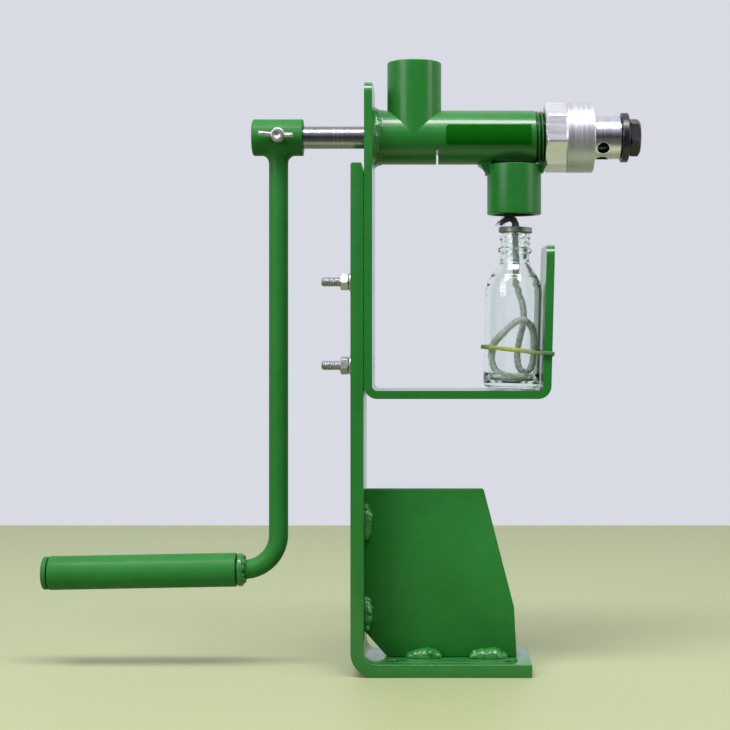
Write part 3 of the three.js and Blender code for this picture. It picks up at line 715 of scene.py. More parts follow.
def stand_bracket():
    outline = filleted([
        (STAND_RIGHT, 0, 0.8), (STAND_RIGHT, FOOT_THICK, 1.0), (STAND_FACE, FOOT_THICK, 7),
        (STAND_FACE, STAND_TOP - 6.5, 2), (STAND_FACE - 1.4, STAND_TOP, 0.8),
        (STAND_LEFT, STAND_TOP, 1.6), (STAND_LEFT, 0, 15),
    ], steps=10)
    bar = plated("stand_bracket", outline, -BAR, BAR)
    holes = [
        rod("hole", M6_HOLE, (STAND_LEFT - 1, 0, z), (STAND_FACE + 1, 0, z))
        for z in SCREW_LEVELS.values()
    ]
    holes += [rod("hole", 4.25, (x, y, -1), (x, y, FOOT_THICK + 1)) for x, y in FOOT_HOLES]
    return softened(boolean(bar, holes), 0.7, 3)


def gusset_plate():
    left, low = STAND_FACE, FOOT_THICK + GAP
    outline = filleted([
        (left + 13.9, low), (46.8, low, 0.8), (45.1, 39.3, 1.2), (26.2, GUSSET_TOP, 1.6),
        (left, GUSSET_TOP, 0.8), (left, low + 15.6),
    ])
    return softened(plated("gusset_plate", outline, -GUSSET_HALF, GUSSET_HALF), 0.5, 2)


def fillet_bead(name, start, end, out, seed, size):
    """A lumpy corner weld between two plates; out points out of the corner."""
    start, end, out = Vector(start), Vector(end), Vector(out)
    chance = random.Random(seed)
    lumps = []
    for point in evenly([start, end], 2.6):
        edge = min((point - start).length, (point - end).length)
        r = size * (0.62 if edge < 1 else 0.86 if edge < 3.5 else 1.0) * chance.uniform(0.88, 1.06)
        lumps.append(blob(point + out * chance.uniform(-0.3, 0.5), r))
    for _ in range(9):
        point = start.lerp(end, chance.uniform(-0.06, 1.06))
        aside = out * (size * chance.uniform(0.45, 0.8))
        aside += Vector((chance.uniform(-1, 1) for _ in range(3))) * 1.6
        lumps.append(blob(point + aside, size * chance.uniform(0.26, 0.46)))
    return melted(name, lumps, 0.4)


def gusset_welds():
    """Eight beads, each cut off where it would enter the plates that it joins."""
    left, low = STAND_FACE + GAP, FOOT_THICK + GAP
    out = []
    for side, sign in (("front", -1), ("back", 1)):
        y = sign * (GUSSET_HALF + GAP)
        runs = [
            (f"upright_weld_{side}_1", (left, y, 27), (left, y, 43.4)),
            (f"upright_weld_{side}_2", (left, y, 83.5), (left, y, 101.4)),
            (f"foot_weld_{side}_1", (-19, y, low), (-3.2, y, low)),
            (f"foot_weld_{side}_2", (20, y, low), (37.8, y, low)),
        ]
        for n, (name, start, end) in enumerate(runs):
            up = name.startswith("upright")
            aside = (0.5, sign * 0.5, 0) if up else (0, sign * 0.6, 0.4)
            bead = fillet_bead(name, start, end, aside, 10 * n + sign + 3, 5.0 if up else 6.0)
            wall = brick("wall", (-80, -40, -5), (left, 40, 200) if up else (80, 40, low))
            beyond = -40 * sign
            plate = brick("plate", (-80, min(y, beyond), -5), (80, max(y, beyond), 200))
            out.append(boolean(bead, [wall, plate]))
    return out


painted(stand_bracket())
painted(gusset_plate(), SATIN_ENAMEL)
for weld in gusset_welds():
    painted(weld, WELD_ENAMEL, 60)


# ---------------- arm and its screws
ARM_LEFT, ARM_FACE, ARM_THICK = -47.5, -42.5, 5.0
ARM_TOP, ARM_BOTTOM, LEG_TOP, LEG_INNER = 363.6, 169.8, 263.8, 61.5
ARM_BEND, ARM_CORNER = 8, 7
LEG_SHIFT = math.tan(math.radians(1.6)) * (LEG_TOP - ARM_BOTTOM - ARM_BEND)


def lamp_arm():
    right, floor_top, beyond = LEG_INNER + ARM_THICK, ARM_BOTTOM + ARM_THICK, ARM_FACE + 1
    outline = filleted([
        (ARM_LEFT, ARM_TOP), (ARM_LEFT, ARM_BOTTOM, ARM_BEND), (right, ARM_BOTTOM, ARM_BEND),
        (right + LEG_SHIFT, LEG_TOP), (right + LEG_SHIFT - ARM_THICK, LEG_TOP),
        (LEG_INNER, floor_top, 3), (ARM_FACE, floor_top, 3), (ARM_FACE, ARM_TOP),
    ], steps=10)
    bar = plated("lamp_arm", outline, -BAR, BAR)
    tools = [rod("bore", 7.4, (ARM_LEFT - 1, 0, AXIS_Z), (beyond, 0, AXIS_Z), 64)]
    sink = [(0, ARM_FACE - 4), (2.2, ARM_FACE - 4), (6.3, ARM_FACE - 0.1)]
    sink += [(6.3, beyond), (0, beyond)]
    for z in SCREW_LEVELS.values():
        tools.append(rod("hole", M6_HOLE, (ARM_LEFT - 1, 0, z), (beyond, 0, z)))
        tools.append(turned("sink", sink, origin=(0, 0, z), sides=48, closed=False))
    inner = BAR - ARM_CORNER
    for x0, x1, top in ((ARM_LEFT - 1, beyond, ARM_TOP), (LEG_INNER - 1, right + 5, LEG_TOP)):
        low = top - ARM_CORNER
        corner = [(inner, top + 1), (BAR + 1, top + 1), (BAR + 1, low)]
        for k in range(9):
            a = math.pi / 2 * (1 - k / 8)
            corner.append((inner + ARM_CORNER * math.sin(a), low + ARM_CORNER * math.cos(a)))
        for sign in (-1, 1):
            tools.append(plated("corner", [(sign * y, z) for y, z in corner], x0, x1, "YZ"))
    return softened(boolean(bar, tools), 0.6, 3)


def screw_thread(radius, pitch, depth):
    """A radius function that winds a V thread along a turned body."""
    def shape(base, along, angle):
        if base < radius - depth - 0.2 or base > radius + 0.01:
            return base
        turn = (along / pitch + angle / TAU) % 1.0
        return base - depth * (1 - abs(2 * turn - 1)) ** 1.1
    return shape


def clamp_screw(name, z):
    tip, root, face, socket = -75.0, ARM_FACE - 3.3, ARM_FACE, ARM_FACE - 2.2
    thread = finer([(2.1, tip), (3.0, tip + 0.9), (3.0, root)], 0.14, False)
    head = [(3.02, root + 0.05), (5.8, face - 0.35), (5.8, face), (1.7, face), (1.7, socket)]
    profile = [(0.0, tip), *thread, *head, (0.0, socket)]
    shape = screw_thread(3.0, 1.0, 0.42)
    return turned(name, profile, origin=(0, 0, z), sides=48, closed=False, shape=shape)


def hexagon(name, across, low, high, bore, turn, z):
    """A nut or bolt head on an X axis: six flats, both ends chamfered round."""
    corner = across / math.sqrt(3)
    chamfer = 0.11 * across
    profile = finer([(bore, low), (corner, low), (corner, high), (bore, high)], 0.3, True)

    def shape(base, along, angle):
        if base < corner - 1e-6 and base <= bore + 1e-6:
            return base
        wedge = (angle - turn) % (TAU / 6) - TAU / 12
        flat = across / 2 / math.cos(wedge)
        round_off = corner - max(0.0, chamfer - 1.7 * min(along - low, high - along))
        return min(base, flat, round_off)

    return turned(name, profile, sides=144, shape=shape, origin=(0, 0, z))


def screw_stack(level, z):
    """A screw with its washer and nut, which lie behind the stand on its left."""
    low, high = -57.7, -56.1
    washer = ring_profile(3.2, 6.0, low, high, (0.15, 0.35, 0.35, 0.15))
    turn = math.radians(NUT_TURNS[level])
    return [
        clamp_screw(f"clamp_screw_{level}", z),
        turned(f"flat_washer_{level}", washer, origin=(0, 0, z)),
        softened(hexagon(f"hex_nut_{level}", 10, -63.2, low - GAP, 2.9, turn, z), 0.12, 2),
    ]


painted(lamp_arm())
for level, z in SCREW_LEVELS.items():
    for part in screw_stack(level, z):
        piece(part, "frame", ZINC, 25)


# ---------------- barrel, hopper, shroud
PIPE, PIPE_BORE = 16.85, 13.6
BARREL_END, BARREL_BORE, THREAD_START, PIPE_PITCH = 78.0, 9.25, 57.8, 2.309
HOPPER_X, HOPPER_TOP, SHROUD_X, SHROUD_LOW = -17.1, 378.4, 45.3, 283.9
OIL_SLOT = (-2.8, 0.65, 322.6)  # middle, half width and top
LABEL_FROM, LABEL_LONG, LABEL_CORNER, LABEL_HALF = 2.7, 52.3, 1.4, math.radians(21)
AXIS = (0, 0, AXIS_Z)


def press_barrel():
    left = ARM_FACE + GAP
    outer = finer([(PIPE, left), (PIPE, THREAD_START)], 4, False)
    thread = finer([(PIPE, THREAD_START + 0.01), (16.6, BARREL_END - 0.6)], 0.2, False)
    profile = outer + thread + [
        (15.4, BARREL_END), (BARREL_BORE + 0.6, BARREL_END), (BARREL_BORE, BARREL_END - 0.6),
        (BARREL_BORE, left),
    ]

    def shape(base, along, angle):
        if base < 15.5 or along <= THREAD_START + 0.02:
            return base
        turn = (along / PIPE_PITCH + angle / TAU) % 1.0
        fade = min(1.0, (along - THREAD_START) / 1.2)
        return base - 1.35 * fade * (1 - abs(2 * turn - 1)) ** 1.2

    tube = turned("press_barrel", profile, origin=AXIS, sides=128, shape=shape)
    x, half, top = OIL_SLOT
    slot = brick("slot", (x - half, -30, 300), (x + half, 30, top))
    feed = rod("feed", 8.5, (HOPPER_X, 0, AXIS_Z), (HOPPER_X, 0, AXIS_Z + 30), 64)
    return boolean(tube, [slot, feed])


def feed_hopper():
    profile = ring_profile(PIPE_BORE, PIPE, 325, HOPPER_TOP, (0, 0, 0.6, 0.5))
    tube = turned("feed_hopper", finer(profile, 6, True), "Z", (HOPPER_X, 0, 0), 128)
    saddle = rod("saddle", PIPE - 0.2, (-60, 0, AXIS_Z), (90, 0, AXIS_Z), 128)
    below = brick("below", (-60, -30, 300), (60, 30, AXIS_Z))
    return boolean(tube, [saddle, below])


def flame_shroud():
    top = AXIS_Z - PIPE - GAP
    profile = ring_profile(PIPE_BORE, PIPE, SHROUD_LOW, top, (0.5, 0.6, 0.4, 0.3))
    return turned("flame_shroud", finer(profile, 6, True), "Z", (SHROUD_X, 0, 0), 128)


def saddle_fillet(name, post, lying, reach, seed, lumpy):
    """Weld run in round an upright post of radius post[2] where it meets the underside of a
    lying bar; post is (x, y, radius) and lying (height, radius) of the bar's axis."""
    x0, y0, post_radius = post
    height, bar_radius = lying
    around, steps = 96, 9
    vertices = []
    for k in range(around):
        angle = TAU * k / around
        ring = []
        for i in range(steps + 1):
            theta = math.pi / 2 * i / steps
            rough = lumpy * noise_round(2.6, angle, seed + 2.2 * i / steps)
            bulge = rough * math.sin(2 * theta) + 0.5 * rough
            radial = post_radius + (reach + bulge) * (1 - math.cos(theta)) + 0.12
            depth = (reach * 1.25 + bulge) * (1 - math.sin(theta)) + 0.12
            ring.append((radial, depth))
        inner = post_radius - 0.8
        ring += [(post_radius + reach * 0.9, -1.2), (inner, -1.2), (inner, reach * 1.25)]
        for radial, depth in ring:
            y = radial * math.sin(angle)
            surface = height - math.sqrt(max(bar_radius ** 2 - y * y, 1.0))
            vertices.append((x0 + radial * math.cos(angle), y0 + y, surface - depth))
    return new_object(name, vertices, tube_faces(around, len(ring), closed=True))


def barrel_weld():
    """The ring of weld where the barrel meets the arm's plate: a rough flare."""
    left = ARM_FACE - 0.3
    profile = [(PIPE - 1, left), (PIPE + 3.6, left)]
    steps = 12
    for i in range(steps + 1):
        theta = math.pi / 2 * i / steps
        along = left + 0.4 + 6.2 * (1 - math.cos(theta))
        profile.append((PIPE + 3.3 - 3.2 * math.sin(theta), along))
    profile.append((PIPE - 1, left + 6.6))
    profile = finer(profile, 0.35, True)

    def shape(base, along, angle):
        if base < PIPE - 0.5:
            return base
        away = min(1.0, max(0.0, (along - left) / 1.2))
        ripple = noise_round(9, angle, 0.35 * along)
        coarse = noise_round(3.4, angle, 0.5 * along + 9)
        grown = min(1.0, 0.35 + (base - PIPE + 0.4) / 2)
        return base + away * (0.22 * ripple + 0.7 * coarse) * grown

    return turned("barrel_weld", profile, origin=AXIS, sides=240, shape=shape)


def hopper_weld(side, sign):
    """The tip of the saddle between hopper and barrel, filled smooth."""
    chance = random.Random(31 + sign)
    lumps = []
    for k in range(-3, 4):
        for row in range(3):
            x = HOPPER_X + 1.25 * k + chance.uniform(-0.2, 0.2)
            z = AXIS_Z + 1.6 + 1.5 * row + 0.5 * abs(k)
            y = sign * (PIPE - 1.35 - 0.06 * abs(k) * (row + 1))
            lumps.append(blob((x, y, z), 1.5 * chance.uniform(0.94, 1.06)))
    return melted(f"hopper_weld_{side}", lumps, 0.3, 7)


def shroud_weld(name, outline, seed):
    """The bridge of weld beside the shroud, under the barrel."""
    chance = random.Random(seed)
    lumps = [plated("wedge", outline, -6.2, 6.2)]
    for _ in range(26):
        a, b = chance.sample(outline[:4], 2)
        t = chance.random()
        x, z = a[0] + (b[0] - a[0]) * t, a[1] + (b[1] - a[1]) * t
        lumps.append(blob((x, chance.uniform(-6.5, 6.5), z + 0.5), chance.uniform(0.7, 1.3)))
    return melted(name, lumps, 0.35, 6)


def blank_label():
    """A plain sticker round the barrel's front: a thin film with rounded corners."""
    steps, rows, corner = 40, 24, LABEL_CORNER
    vertices, faces = [], []
    for radius in (PIPE + 0.32, PIPE + 0.45):
        for i in range(steps + 1):
            along = i / steps * LABEL_LONG
            inset = corner - math.sqrt(corner ** 2 - max(0.0, corner - along) ** 2)
            for j in range(rows + 1):
                angle = (LABEL_HALF - inset / PIPE) * (2 * j / rows - 1)
                y, z = -radius * math.cos(angle), AXIS_Z + radius * math.sin(angle)
                vertices.append((LABEL_FROM + along, y, z))
    size = (steps + 1) * (rows + 1)
    at = lambda layer, i, j: layer * size + i * (rows + 1) + j
    for layer in (0, 1):
        for i in range(steps):
            for j in range(rows):
                square = ((i, j), (i + 1, j), (i + 1, j + 1), (i, j + 1))
                faces.append(tuple(at(layer, *corner) for corner in square))
    rim = [(i, 0) for i in range(steps)] + [(steps, j) for j in range(rows)]
    rim += [(i, rows) for i in range(steps, 0, -1)] + [(0, j) for j in range(rows, 0, -1)]
    for a, b in zip(rim, rim[1:] + rim[:1]):
        faces.append((at(0, *a), at(0, *b), at(1, *b), at(1, *a)))
    return new_object("blank_label", vertices, faces)


painted(press_barrel(), BARREL_ENAMEL, 28)
painted(feed_hopper(), TUBE_ENAMEL, 28)
painted(flame_shroud(), TUBE_ENAMEL, 28)
left_bridge = [
    (22.8, 315.4), (25.2, 313.3), (27.0, 311.3), (28.3, 308.6), (31, 308.6), (31, 318), (22.8, 318),
]
right_bridge = [
    (64.6, 315.4), (63.6, 313.2), (62.9, 311.4), (62.3, 309.4), (60, 309.4), (60, 318), (64.6, 318),
]
for weld in (
    barrel_weld(), hopper_weld("front", -1), hopper_weld("back", 1),
    shroud_weld("shroud_weld_left", left_bridge, 3),
    shroud_weld("shroud_weld_right", right_bridge, 4),
):
    painted(weld, WELD_ENAMEL, 60)
piece(blank_label(), "frame", FILM, 60)


# ---------------- crank
SHAFT, HUB_LEFT, HUB_RIGHT, HUB_RADIUS = 7.0, -118.0, -86.5, 11.4
ROD_X, ROD_RADIUS, ROD_END, WING_X = -101.9, 6.0, -245.7, -101.0
GRIP_DROP = math.radians(1.05)
SLEEVE_LEFT, SLEEVE_RIGHT, CAP_END = -244.9, -128.0, -248.8
DISC_LEFT, DISC_RIGHT = -127.1, -124.0


def grip_z(x):
    """Height of the grip's line at x."""
    return 62.2 + (x + 122.2) * math.tan(GRIP_DROP)


def on_grip(obj):
    """Turns a body made round the X axis onto the grip's line."""
    lean = Matrix.Rotation(-GRIP_DROP, 4, "Y")
    obj.data.transform(Matrix.Translation((0, 0, grip_z(0) * MM)) @ lean)
    return obj


def expeller_screw():
    """The shaft, and in the barrel its core wound with one flight."""
    start, end, core, crest, pitch = ARM_FACE + 4, BARREL_END - 2, 6.2, 9.0, 16.0
    back = HUB_LEFT + 2
    profile = filleted([(0, back), (SHAFT, back, 0.8), (SHAFT, start)], False)[:-1]
    flight = [(SHAFT, start), (core, start + 0.5), (core, end - 0.5), (6.0, end)]
    profile += finer(flight, 0.8, False)
    profile += [(6.0, end + 2), (3.6, end + 9.5), (3.0, end + 10), (0, end + 10)]

    def shape(base, along, angle):
        if not start + 0.4 < along < end - 0.3:
            return base
        turn = (along / pitch - angle / TAU) % 1.0
        near = min(turn, 1 - turn) * pitch
        fade = min(1.0, (along - start) / 6, (end - along) / 2)
        wall = 1 / (1 + math.exp((near - 2.1) * 4))
        return base + (crest - core) * wall * fade

    return turned("expeller_screw", profile, origin=AXIS, closed=False, shape=shape)


def crank_hub():
    profile = ring_profile(SHAFT + 0.2, HUB_RADIUS, HUB_LEFT, HUB_RIGHT, (0.5, 1.4, 0.5, 0.5))
    hub = turned("crank_hub", finer(profile, 3, True), origin=AXIS)
    return boolean(hub, [rod("tapped", 3.2, (WING_X, 0, AXIS_Z), (WING_X, -20, AXIS_Z))])


def crank_arm():
    corners = [(ROD_X, AXIS_Z - 9), (ROD_X, grip_z(ROD_X), 22), (ROD_END, grip_z(ROD_END))]
    path = filleted(corners, closed=False, steps=24)
    line = evenly([Vector((x, 0, z)) for x, z in path], 2.0)
    rod_body = swept("crank_arm", line, lambda i, count: ring_of(ROD_RADIUS, 64))
    hub = rod("hub", HUB_RADIUS + GAP, (-130, 0, AXIS_Z), (-80, 0, AXIS_Z), 96)
    return boolean(rod_body, [hub])


def crank_weld():
    """Weld run in where the rod meets the hub."""
    post, lying = (ROD_X, 0, ROD_RADIUS), (AXIS_Z, HUB_RADIUS)
    return saddle_fillet("crank_weld", post, lying, 3.4, 12, 0.9)


def wing_screw():
    """A cast wing screw: a dimpled boss, two ears and a shank that bears on the shaft."""
    tip, low, top, shank = SHAFT + 0.3, 11.85, 16.5, 2.9
    profile = [(0, tip), *finer([(2.3, tip), (shank, tip + 0.6), (shank, low)], 0.16, False)]
    profile += filleted([
        (shank, low), (4.75, low, 0.4), (4.35, top, 0.9), (2.5, top, 0.5), (0, top - 1.7),
    ], False)[1:]
    shape = screw_thread(shank, 1.0, 0.4)
    boss = turned("boss", profile, "Z", sides=64, closed=False, shape=shape)
    ears = []
    sides, steps = 20, 14
    for sign, reach, lift in ((-1, 12.0, 0.9), (1, 9.7, -0.4)):
        vertices = []
        for i in range(steps + 1):
            t = i / steps
            along = 2.6 + (reach - 2.6) * t
            low = 12.6 + 1.5 * t * t
            high = 15.2 + 4.6 * t - 0.9 * t * t
            if t > 0.7:
                close = math.sqrt(max(0.0, 1 - ((t - 0.7) / 0.3) ** 2))
                middle = (low + high) / 2
                low, high = middle - (middle - low) * close, middle + (high - middle) * close
            mid, half = (low + high) / 2, max(0.25, (high - low) / 2)
            swell = math.sin(math.pi * min(1, t * 0.62 + 0.25)) * (1 if t < 0.95 else 0.8)
            thick = 1.15 + 0.55 * swell
            for k in range(sides):
                a = TAU * k / sides
                out, up = lift * t + thick * math.cos(a), mid + half * math.sin(a)
                vertices.append((sign * along, out, up))
        ears.append(new_object("ear", vertices, tube_faces(steps + 1, sides, caps=True)))
    whole = boolean(boss, ears, "UNION")
    whole.name = "wing_screw"
    place = Matrix.Translation((WING_X * MM, 0, AXIS_Z * MM))
    whole.data.transform(place @ Matrix.Rotation(math.radians(90), 4, "X"))
    return whole


def grip_parts():
    sleeve = ring_profile(6.5, 10.5, SLEEVE_LEFT, SLEEVE_RIGHT, (0.4, 0.8, 0.8, 0.4))
    sleeve = on_grip(turned("grip_sleeve", finer(sleeve, 3, True)))
    left, right, radius = CAP_END, CAP_END + 3.2, 10.15
    cap = filleted([(0, left), (radius, left, 1.1), (radius, right, 0.5), (0, right)], False)
    cap = on_grip(turned("grip_end_cap", cap, closed=False))
    chance = random.Random(17)
    left, right = DISC_LEFT, DISC_RIGHT
    disc = filleted([(6.3, left), (10.3, left, 0.5), (10.3, right, 0.8), (6.3, right + 0.6)])
    ring = [turned("disc", disc, sides=64)]
    for k in range(15):
        angle = TAU * k / 15 + chance.uniform(-0.1, 0.1)
        size = chance.uniform(1.2, 2.0)
        x = right + 0.3 + chance.uniform(-0.4, 0.4)
        ring.append(blob((x, 7.6 * math.cos(angle), 7.6 * math.sin(angle)), size))
    bore = rod("bore", ROD_RADIUS + GAP, (-140, 0, 0), (-110, 0, 0), 64)
    collar = on_grip(boolean(melted("grip_collar", ring, 0.3, 2), [bore]))
    return sleeve, cap, collar


def thrust_washer():
    low, high = ARM_FACE + 0.6, ARM_FACE + 3.2
    profile = ring_profile(SHAFT + 0.25, BARREL_BORE - 0.35, low, high, (0.2, 0.3, 0.3, 0.2))
    return turned("thrust_washer", profile, origin=AXIS)


piece(expeller_screw(), "crank", SHAFT_STEEL)
painted(crank_hub(), SATIN_ENAMEL, body="crank")
painted(crank_arm(), SATIN_ENAMEL, body="crank")
painted(crank_weld(), SATIN_ENAMEL, 60, "crank")
piece(wing_screw(), "wing_screw", ZINC, 40)
grip_sleeve, grip_end_cap, grip_collar = grip_parts()
painted(grip_sleeve, SATIN_ENAMEL, body="grip")
painted(grip_end_cap, SATIN_ENAMEL, body="crank")
painted(grip_collar, WELD_ENAMEL, 60, "crank")
piece(thrust_washer(), "frame", SHAFT_STEEL)


# ---------------- press head and choke
CAP_LEFT, CAP_FLATS, CAP_RIGHT, CAP_RADIUS = 64.0, 77.0, 94.3, 21.87
HEAD_LEFT, HEAD_RIGHT, HEAD_RADIUS, CAKE_HOLES_X = 78.4, 111.4, 13.5, 99.9
CHOKE_LEFT, CHOKE_RIGHT, CHOKE_RADIUS, BOLT_RIGHT = 111.7, 116.2, 15.4, 123.5
FLATS, FLAT_TURN = 8, math.radians(12)


def cap_nut():
    """Turned from octagon bar: flats on the left, a roughly turned round on the right."""
    radius, left, right, shoulder = CAP_RADIUS, CAP_LEFT, CAP_RIGHT, 84.8
    flats = [(20.2, left), (radius, left + 1.3), (radius, CAP_FLATS)]
    rounded = [(radius, right - 1.8), (radius, right, 2.0), (14.6, right)]
    outside = [(17.6, left), *finer(flats, 0.5, False)]
    outside += finer([flats[-1], rounded[0]], 0.22, False)[1:] + filleted(rounded, False)[1:]
    inside = [
        (13.8, right - 0.6), (13.8, shoulder), (17.1, shoulder), (17.1, HEAD_LEFT),
        (17.0, HEAD_LEFT), (17.0, left + 0.6),
    ]
    chance = random.Random(21)
    cuts = []
    along = CAP_FLATS + 0.4
    while along < CAP_RIGHT - 1:
        limits = ((0.04, 0.13), (0.25, 0.7), (0, TAU))  # depth, width and phase of a cut
        cuts.append((along, *(chance.uniform(*pair) for pair in limits)))
        along += chance.uniform(0.7, 1.9)

    def shape(base, along, angle):
        if base < 19:
            return base
        if along < CAP_FLATS + 0.35:
            half = TAU / FLATS / 2
            wedge = (angle + FLAT_TURN) % (2 * half) - half
            flat = radius * math.cos(half) / math.cos(wedge)
            blend = min(1.0, max(0.0, (along - CAP_FLATS + 0.1) / 0.4))
            return min(base, flat + (radius - flat) * blend)
        depth = 0.0
        for place, deep, wide, phase in cuts:
            wander = place + 0.35 * math.sin(angle + phase)
            gap = abs(along - wander) / wide
            if gap < 1:
                depth += deep * (1 - gap) * (0.6 + 0.4 * math.sin(3 * angle + phase))
        chatter = math.sin(58 * angle + 3 * along) * (0.5 + 0.5 * math.sin(2 * angle + along))
        return base - depth + 0.018 * chatter

    return turned("cap_nut", outside + inside, origin=AXIS, sides=192, shape=shape)


def press_head():
    profile = filleted([
        (9.4, HEAD_LEFT, 0.4), (16.8, HEAD_LEFT, 0.5), (16.8, 84.5, 0.4), (HEAD_RADIUS, 84.5, 0.3),
        (HEAD_RADIUS, HEAD_RIGHT, 0.9), (7.2, HEAD_RIGHT, 0.5), (7.2, 105.5), (9.4, 105.5),
    ])
    head = turned("press_head", finer(profile, 3, True), origin=AXIS, sides=128)
    tools = []
    for degrees in (-36, -84, -132):
        angle = math.radians(degrees)
        out = Vector((0, -math.cos(angle), math.sin(angle)))
        centre = Vector((CAKE_HOLES_X, 0, AXIS_Z))
        tools.append(rod("hole", 3.75, centre + out * 4, centre + out * 20, 48))
    return softened(boolean(head, tools), 0.25, 2, 50)


def choke():
    """The thick washer, and the bolt whose cone closes the way out of the head."""
    profile = ring_profile(7.2, CHOKE_RADIUS, CHOKE_LEFT, CHOKE_RIGHT, (0.3, 0.7, 0.9, 0.3))
    washer = turned("choke_washer", finer(profile, 2, True), origin=AXIS)
    low, inside, shank_radius = CHOKE_RIGHT + 0.2, CHOKE_RIGHT + 0.8, 6.9
    head = hexagon("head", 21, low, BOLT_RIGHT, 0.01, math.radians(-20), AXIS_Z)
    head = softened(head, 0.3, 2)
    thread = finer([(4.0, 93.5), (shank_radius, 97), (shank_radius, inside)], 0.25, False)
    profile = [(0, 90), (2, 90), *thread, (0, inside)]
    shape = screw_thread(shank_radius, 2.0, 0.9)
    shank = turned("shank", profile, closed=False, origin=AXIS, shape=shape)
    return washer, joined("choke_bolt", [head, shank])


def second_look(obj, look, chosen):
    """Gives another material to the faces whose x and radius from the axis are chosen."""
    obj.data.materials.append(look)
    for face in obj.data.polygons:
        x, y, z = face.center / MM
        if chosen(x, math.hypot(y, z - AXIS_Z)):
            face.material_index = 1


cap = piece(cap_nut(), "cap_nut", TURNED_STEEL, 12)
second_look(cap, MILLED_STEEL, lambda x, radius: x < CAP_FLATS + 0.1 and radius > 19)
head = piece(press_head(), "press_head", POLISHED_STEEL, 35)
# Painted shade: the head's inner faces, round its bore and in its cake holes, take the black
# material.
second_look(head, BLACK, lambda x, radius: x < HEAD_RIGHT - 0.6 and radius < HEAD_RADIUS - 0.6)
choke_washer, choke_bolt = choke()
piece(choke_washer, "choke_washer", BLACK)
piece(choke_bolt, "choke_bolt", BLACK, 25)


# ---------------- lamp
BOTTLE_RADIUS, MOUTH = 17.6, 97.0
BAND_Z, BAND_TILT = 199.6, math.radians(6)


def leaned(obj):
    """Stands a body made round the Z axis in the lamp's place."""
    obj.data.transform(Matrix.Translation(LAMP * MM) @ LAMP_LEAN.to_4x4())
    return obj


def lamp_bottle():
    """Moulded glass: a thick pushed-up base, soft shoulders, a bead and a neck thread."""
    outside = [
        (0, 1.6), (7, 1.3), (11.2, 0.5), (13.4, 0.02, 1), (15.6, 0.35, 2), (17.0, 1.8, 2),
        (BOTTLE_RADIUS, 4.4, 2), (BOTTLE_RADIUS, 60.5, 8), (16.6, 66.2, 5), (14.2, 70.8, 5),
        (11.4, 74.6, 4), (9.5, 77.8, 3), (9.0, 80.5, 3), (9.0, 84.2, 0.4), (10.55, 85.1, 0.9),
        (10.55, 87.2, 0.9), (9.0, 88.2, 0.4), (9.0, MOUTH, 0.9), (6.0, MOUTH, 0.7),
    ]
    inside = [
        (6.0, 81, 4), (7.2, 77.8, 3), (10.0, 73.0, 4), (13.6, 68.6, 5), (15.6, 63.0, 5),
        (16.0, 57, 5), (16.0, 9.5, 4), (14.4, 5.6, 3), (10, 4.3, 3), (0, 4.1),
    ]
    profile = finer(filleted(outside + inside, closed=False, steps=5), 1.2, False)
    neck_pitch = 3.4

    def shape(base, along, angle):
        if not (89.2 < along < 96.5 and base > 8.5):
            return base
        bump = 0.0
        for wind in (-1, 0, 1):
            height = 92.6 + neck_pitch * (angle / TAU - 0.5 + wind)
            if 90.2 < height < 95.4:
                bump = max(bump, math.exp(-((along - height) / 0.55) ** 2))
        return base + 0.95 * bump

    return leaned(turned("lamp_bottle", profile, "Z", sides=128, closed=False, shape=shape))


def wick_holder():
    """A thick disc with a plug under it, dented a little by use."""
    low, high, plug = MOUTH + GAP, MOUTH + GAP + 3.4, MOUTH - 0.9
    profile = filleted([
        (2.5, plug, 0.2), (5.6, plug, 0.3), (5.6, low), (10.5, low, 0.5), (10.5, high, 0.6),
        (2.5, high, 0.3),
    ])

    def shape(base, along, angle):
        return base + (0.22 * noise_round(2.2, angle, along * 0.5) if base > 6 else 0.0)

    return leaned(turned("wick_holder", finer(profile, 0.6, True), "Z", shape=shape))


def rubber_band():
    """Round the bottle's far side and over the four corners of the arm's leg."""
    thick, height, wide = 1.2, 2.8, 0.6
    leg_in, leg_out, leg_y = LEG_INNER - LAMP.x, LEG_INNER + ARM_THICK + 0.6 - LAMP.x, BAR + 0.3
    slack = BOTTLE_RADIUS + 0.4
    tangent = math.atan2(leg_y, leg_in) + math.acos(slack / math.hypot(leg_in, leg_y))
    corner, quarter = wide + 0.5, math.pi / 2
    arcs = [
        (0, 0, slack + wide, tangent, TAU - tangent, 60),
        (leg_in, -leg_y, corner, -tangent, -quarter, 4),
        (leg_out, -leg_y, corner, -quarter, 0, 6),
        (leg_out, leg_y, corner, 0, quarter, 6),
        (leg_in, leg_y, corner, quarter, tangent, 4),
    ]
    points = []
    for x, y, radius, start, stop, steps in arcs:
        for k in range(steps + 1):
            a = start + (stop - start) * k / steps
            points.append(Vector((x + radius * math.cos(a), y + radius * math.sin(a), 0)))
    line = evenly(points, 1.0, closed=True)
    vertices = []
    sides = 14
    squared = lambda value: math.copysign(abs(value) ** 0.6, value)
    for i, point in enumerate(line):
        ahead = (line[(i + 1) % len(line)] - line[i - 1]).normalized()
        out = Vector((ahead.y, -ahead.x, 0))
        lift = 0.5 * noise.noise(Vector((point.x * 0.09, point.y * 0.09, 3)))
        fat = 1 + 0.22 * noise.noise(Vector((point.x * 0.22, point.y * 0.22, 7)))
        for k in range(sides):
            a = TAU * k / sides
            across = thick / 2 * squared(math.cos(a))
            up = height / 2 * fat * squared(math.sin(a))
            vertices.append(point + out * across * 0.9 + Vector((0, 0, up * 0.9 + lift)))
    band = new_object("rubber_band", vertices, tube_faces(len(line), sides, closed=True))
    place = Matrix.Translation((LAMP.x * MM, 0, BAND_Z * MM))
    band.data.transform(place @ Matrix.Rotation(BAND_TILT, 4, "Y"))
    return band


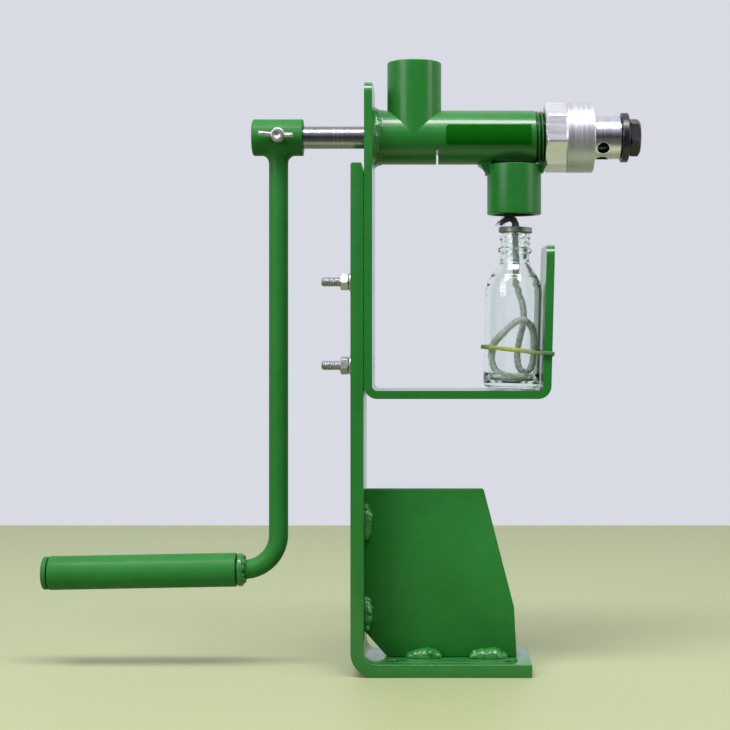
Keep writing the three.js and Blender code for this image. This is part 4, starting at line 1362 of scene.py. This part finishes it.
piece(lamp_bottle(), "frame", GLASS, 60)
piece(wick_holder(), "frame", HOLDER)
piece(rubber_band(), "frame", RUBBER, 70)


# ---------------- stage and light
def seen_or_through(tree):
    """1 for what the eye sees, straight on or through the glass; 0 in reflections."""
    path = added(tree, "LightPath", {}).outputs
    inputs = {0: path["Is Camera Ray"], 1: path["Transmission Depth"]}
    return added(tree, "Math", inputs, operation="ADD", use_clamp=True).outputs[0]


FLOOR_HALF, FLOOR_BACK = 2600, 705
FLOOR_TONE = (0.375, 0.41, 0.215)
sides = (-FLOOR_HALF, FLOOR_HALF)
corners = [(sides[0], sides[0], 0), (sides[1], sides[0], 0)]
corners += [(sides[1], FLOOR_BACK, 0), (sides[0], FLOOR_BACK, 0)]
floor = new_object("floor", corners, [(0, 1, 2, 3)])
floor_look, tree, shader = nodes_of("floor")
# In reflections the floor is darker towards the front, as in a room lit from behind.
reflected = ramp(tree, along_axis(tree, "Y", -0.5, 0.1), [
    (0.0, (0.05, 0.06, 0.035)), (0.33, (0.09, 0.115, 0.06)), (0.5, (0.34, 0.38, 0.21)),
    (0.65, (0.34, 0.38, 0.21)), (0.84, (0.24, 0.27, 0.14)),
])
feed(shader, {
    "Base Color": mixed(tree, seen_or_through(tree), reflected, FLOOR_TONE),
    "Roughness": 0.5,
    "Specular IOR Level": 0.3,
})
floor.data.materials.append(floor_look)


def soft_light(name, place, aim, size, power, colour=(1, 1, 1)):
    data = bpy.data.lights.new(name, "AREA")
    data.shape = "RECTANGLE"
    data.size, data.size_y = size[0] * MM, size[1] * MM
    data.energy = power
    data.color = colour
    light = bpy.data.objects.new(name, data)
    scene.collection.objects.link(light)
    light.location = Vector(place) * MM
    light.rotation_euler = (Vector(aim) - Vector(place)).to_track_quat("-Z", "Y").to_euler()
    return light


soft_light("key", (-80, -560, 1500), (0, 0, 260), (1500, 330), 26)
soft_light("fill", (-1300, -1100, 900), (0, 0, 200), (900, 900), 14, (0.95, 0.97, 1))
soft_light("side", (1500, -500, 700), (0, 0, 250), (500, 1100), 8)

WALL_TONE = (0.690, 0.710, 0.775)
world = bpy.data.worlds.new("studio")
scene.world = world
world.use_nodes = True
tree = world.node_tree
direction = added(tree, "TexCoord", {}).outputs["Generated"]
split = added(tree, "SeparateXYZ", {"Vector": direction}).outputs
front = ramp(tree, split["Z"], [
    (0.0, (0.02, 0.02, 0.025)), (0.25, (0.10, 0.10, 0.12)), (0.55, (0.38, 0.38, 0.46)),
    (0.9, (0.50, 0.50, 0.58)),
])
side = ramp(tree, split["Y"], [(0.0, 0.0), (0.25, 1.0)])
around = mixed(tree, side, front, WALL_TONE)
shown = mixed(tree, seen_or_through(tree), around, WALL_TONE)
feed(tree.nodes["Background"], {"Color": shown})

scene.view_settings.view_transform = "Standard"
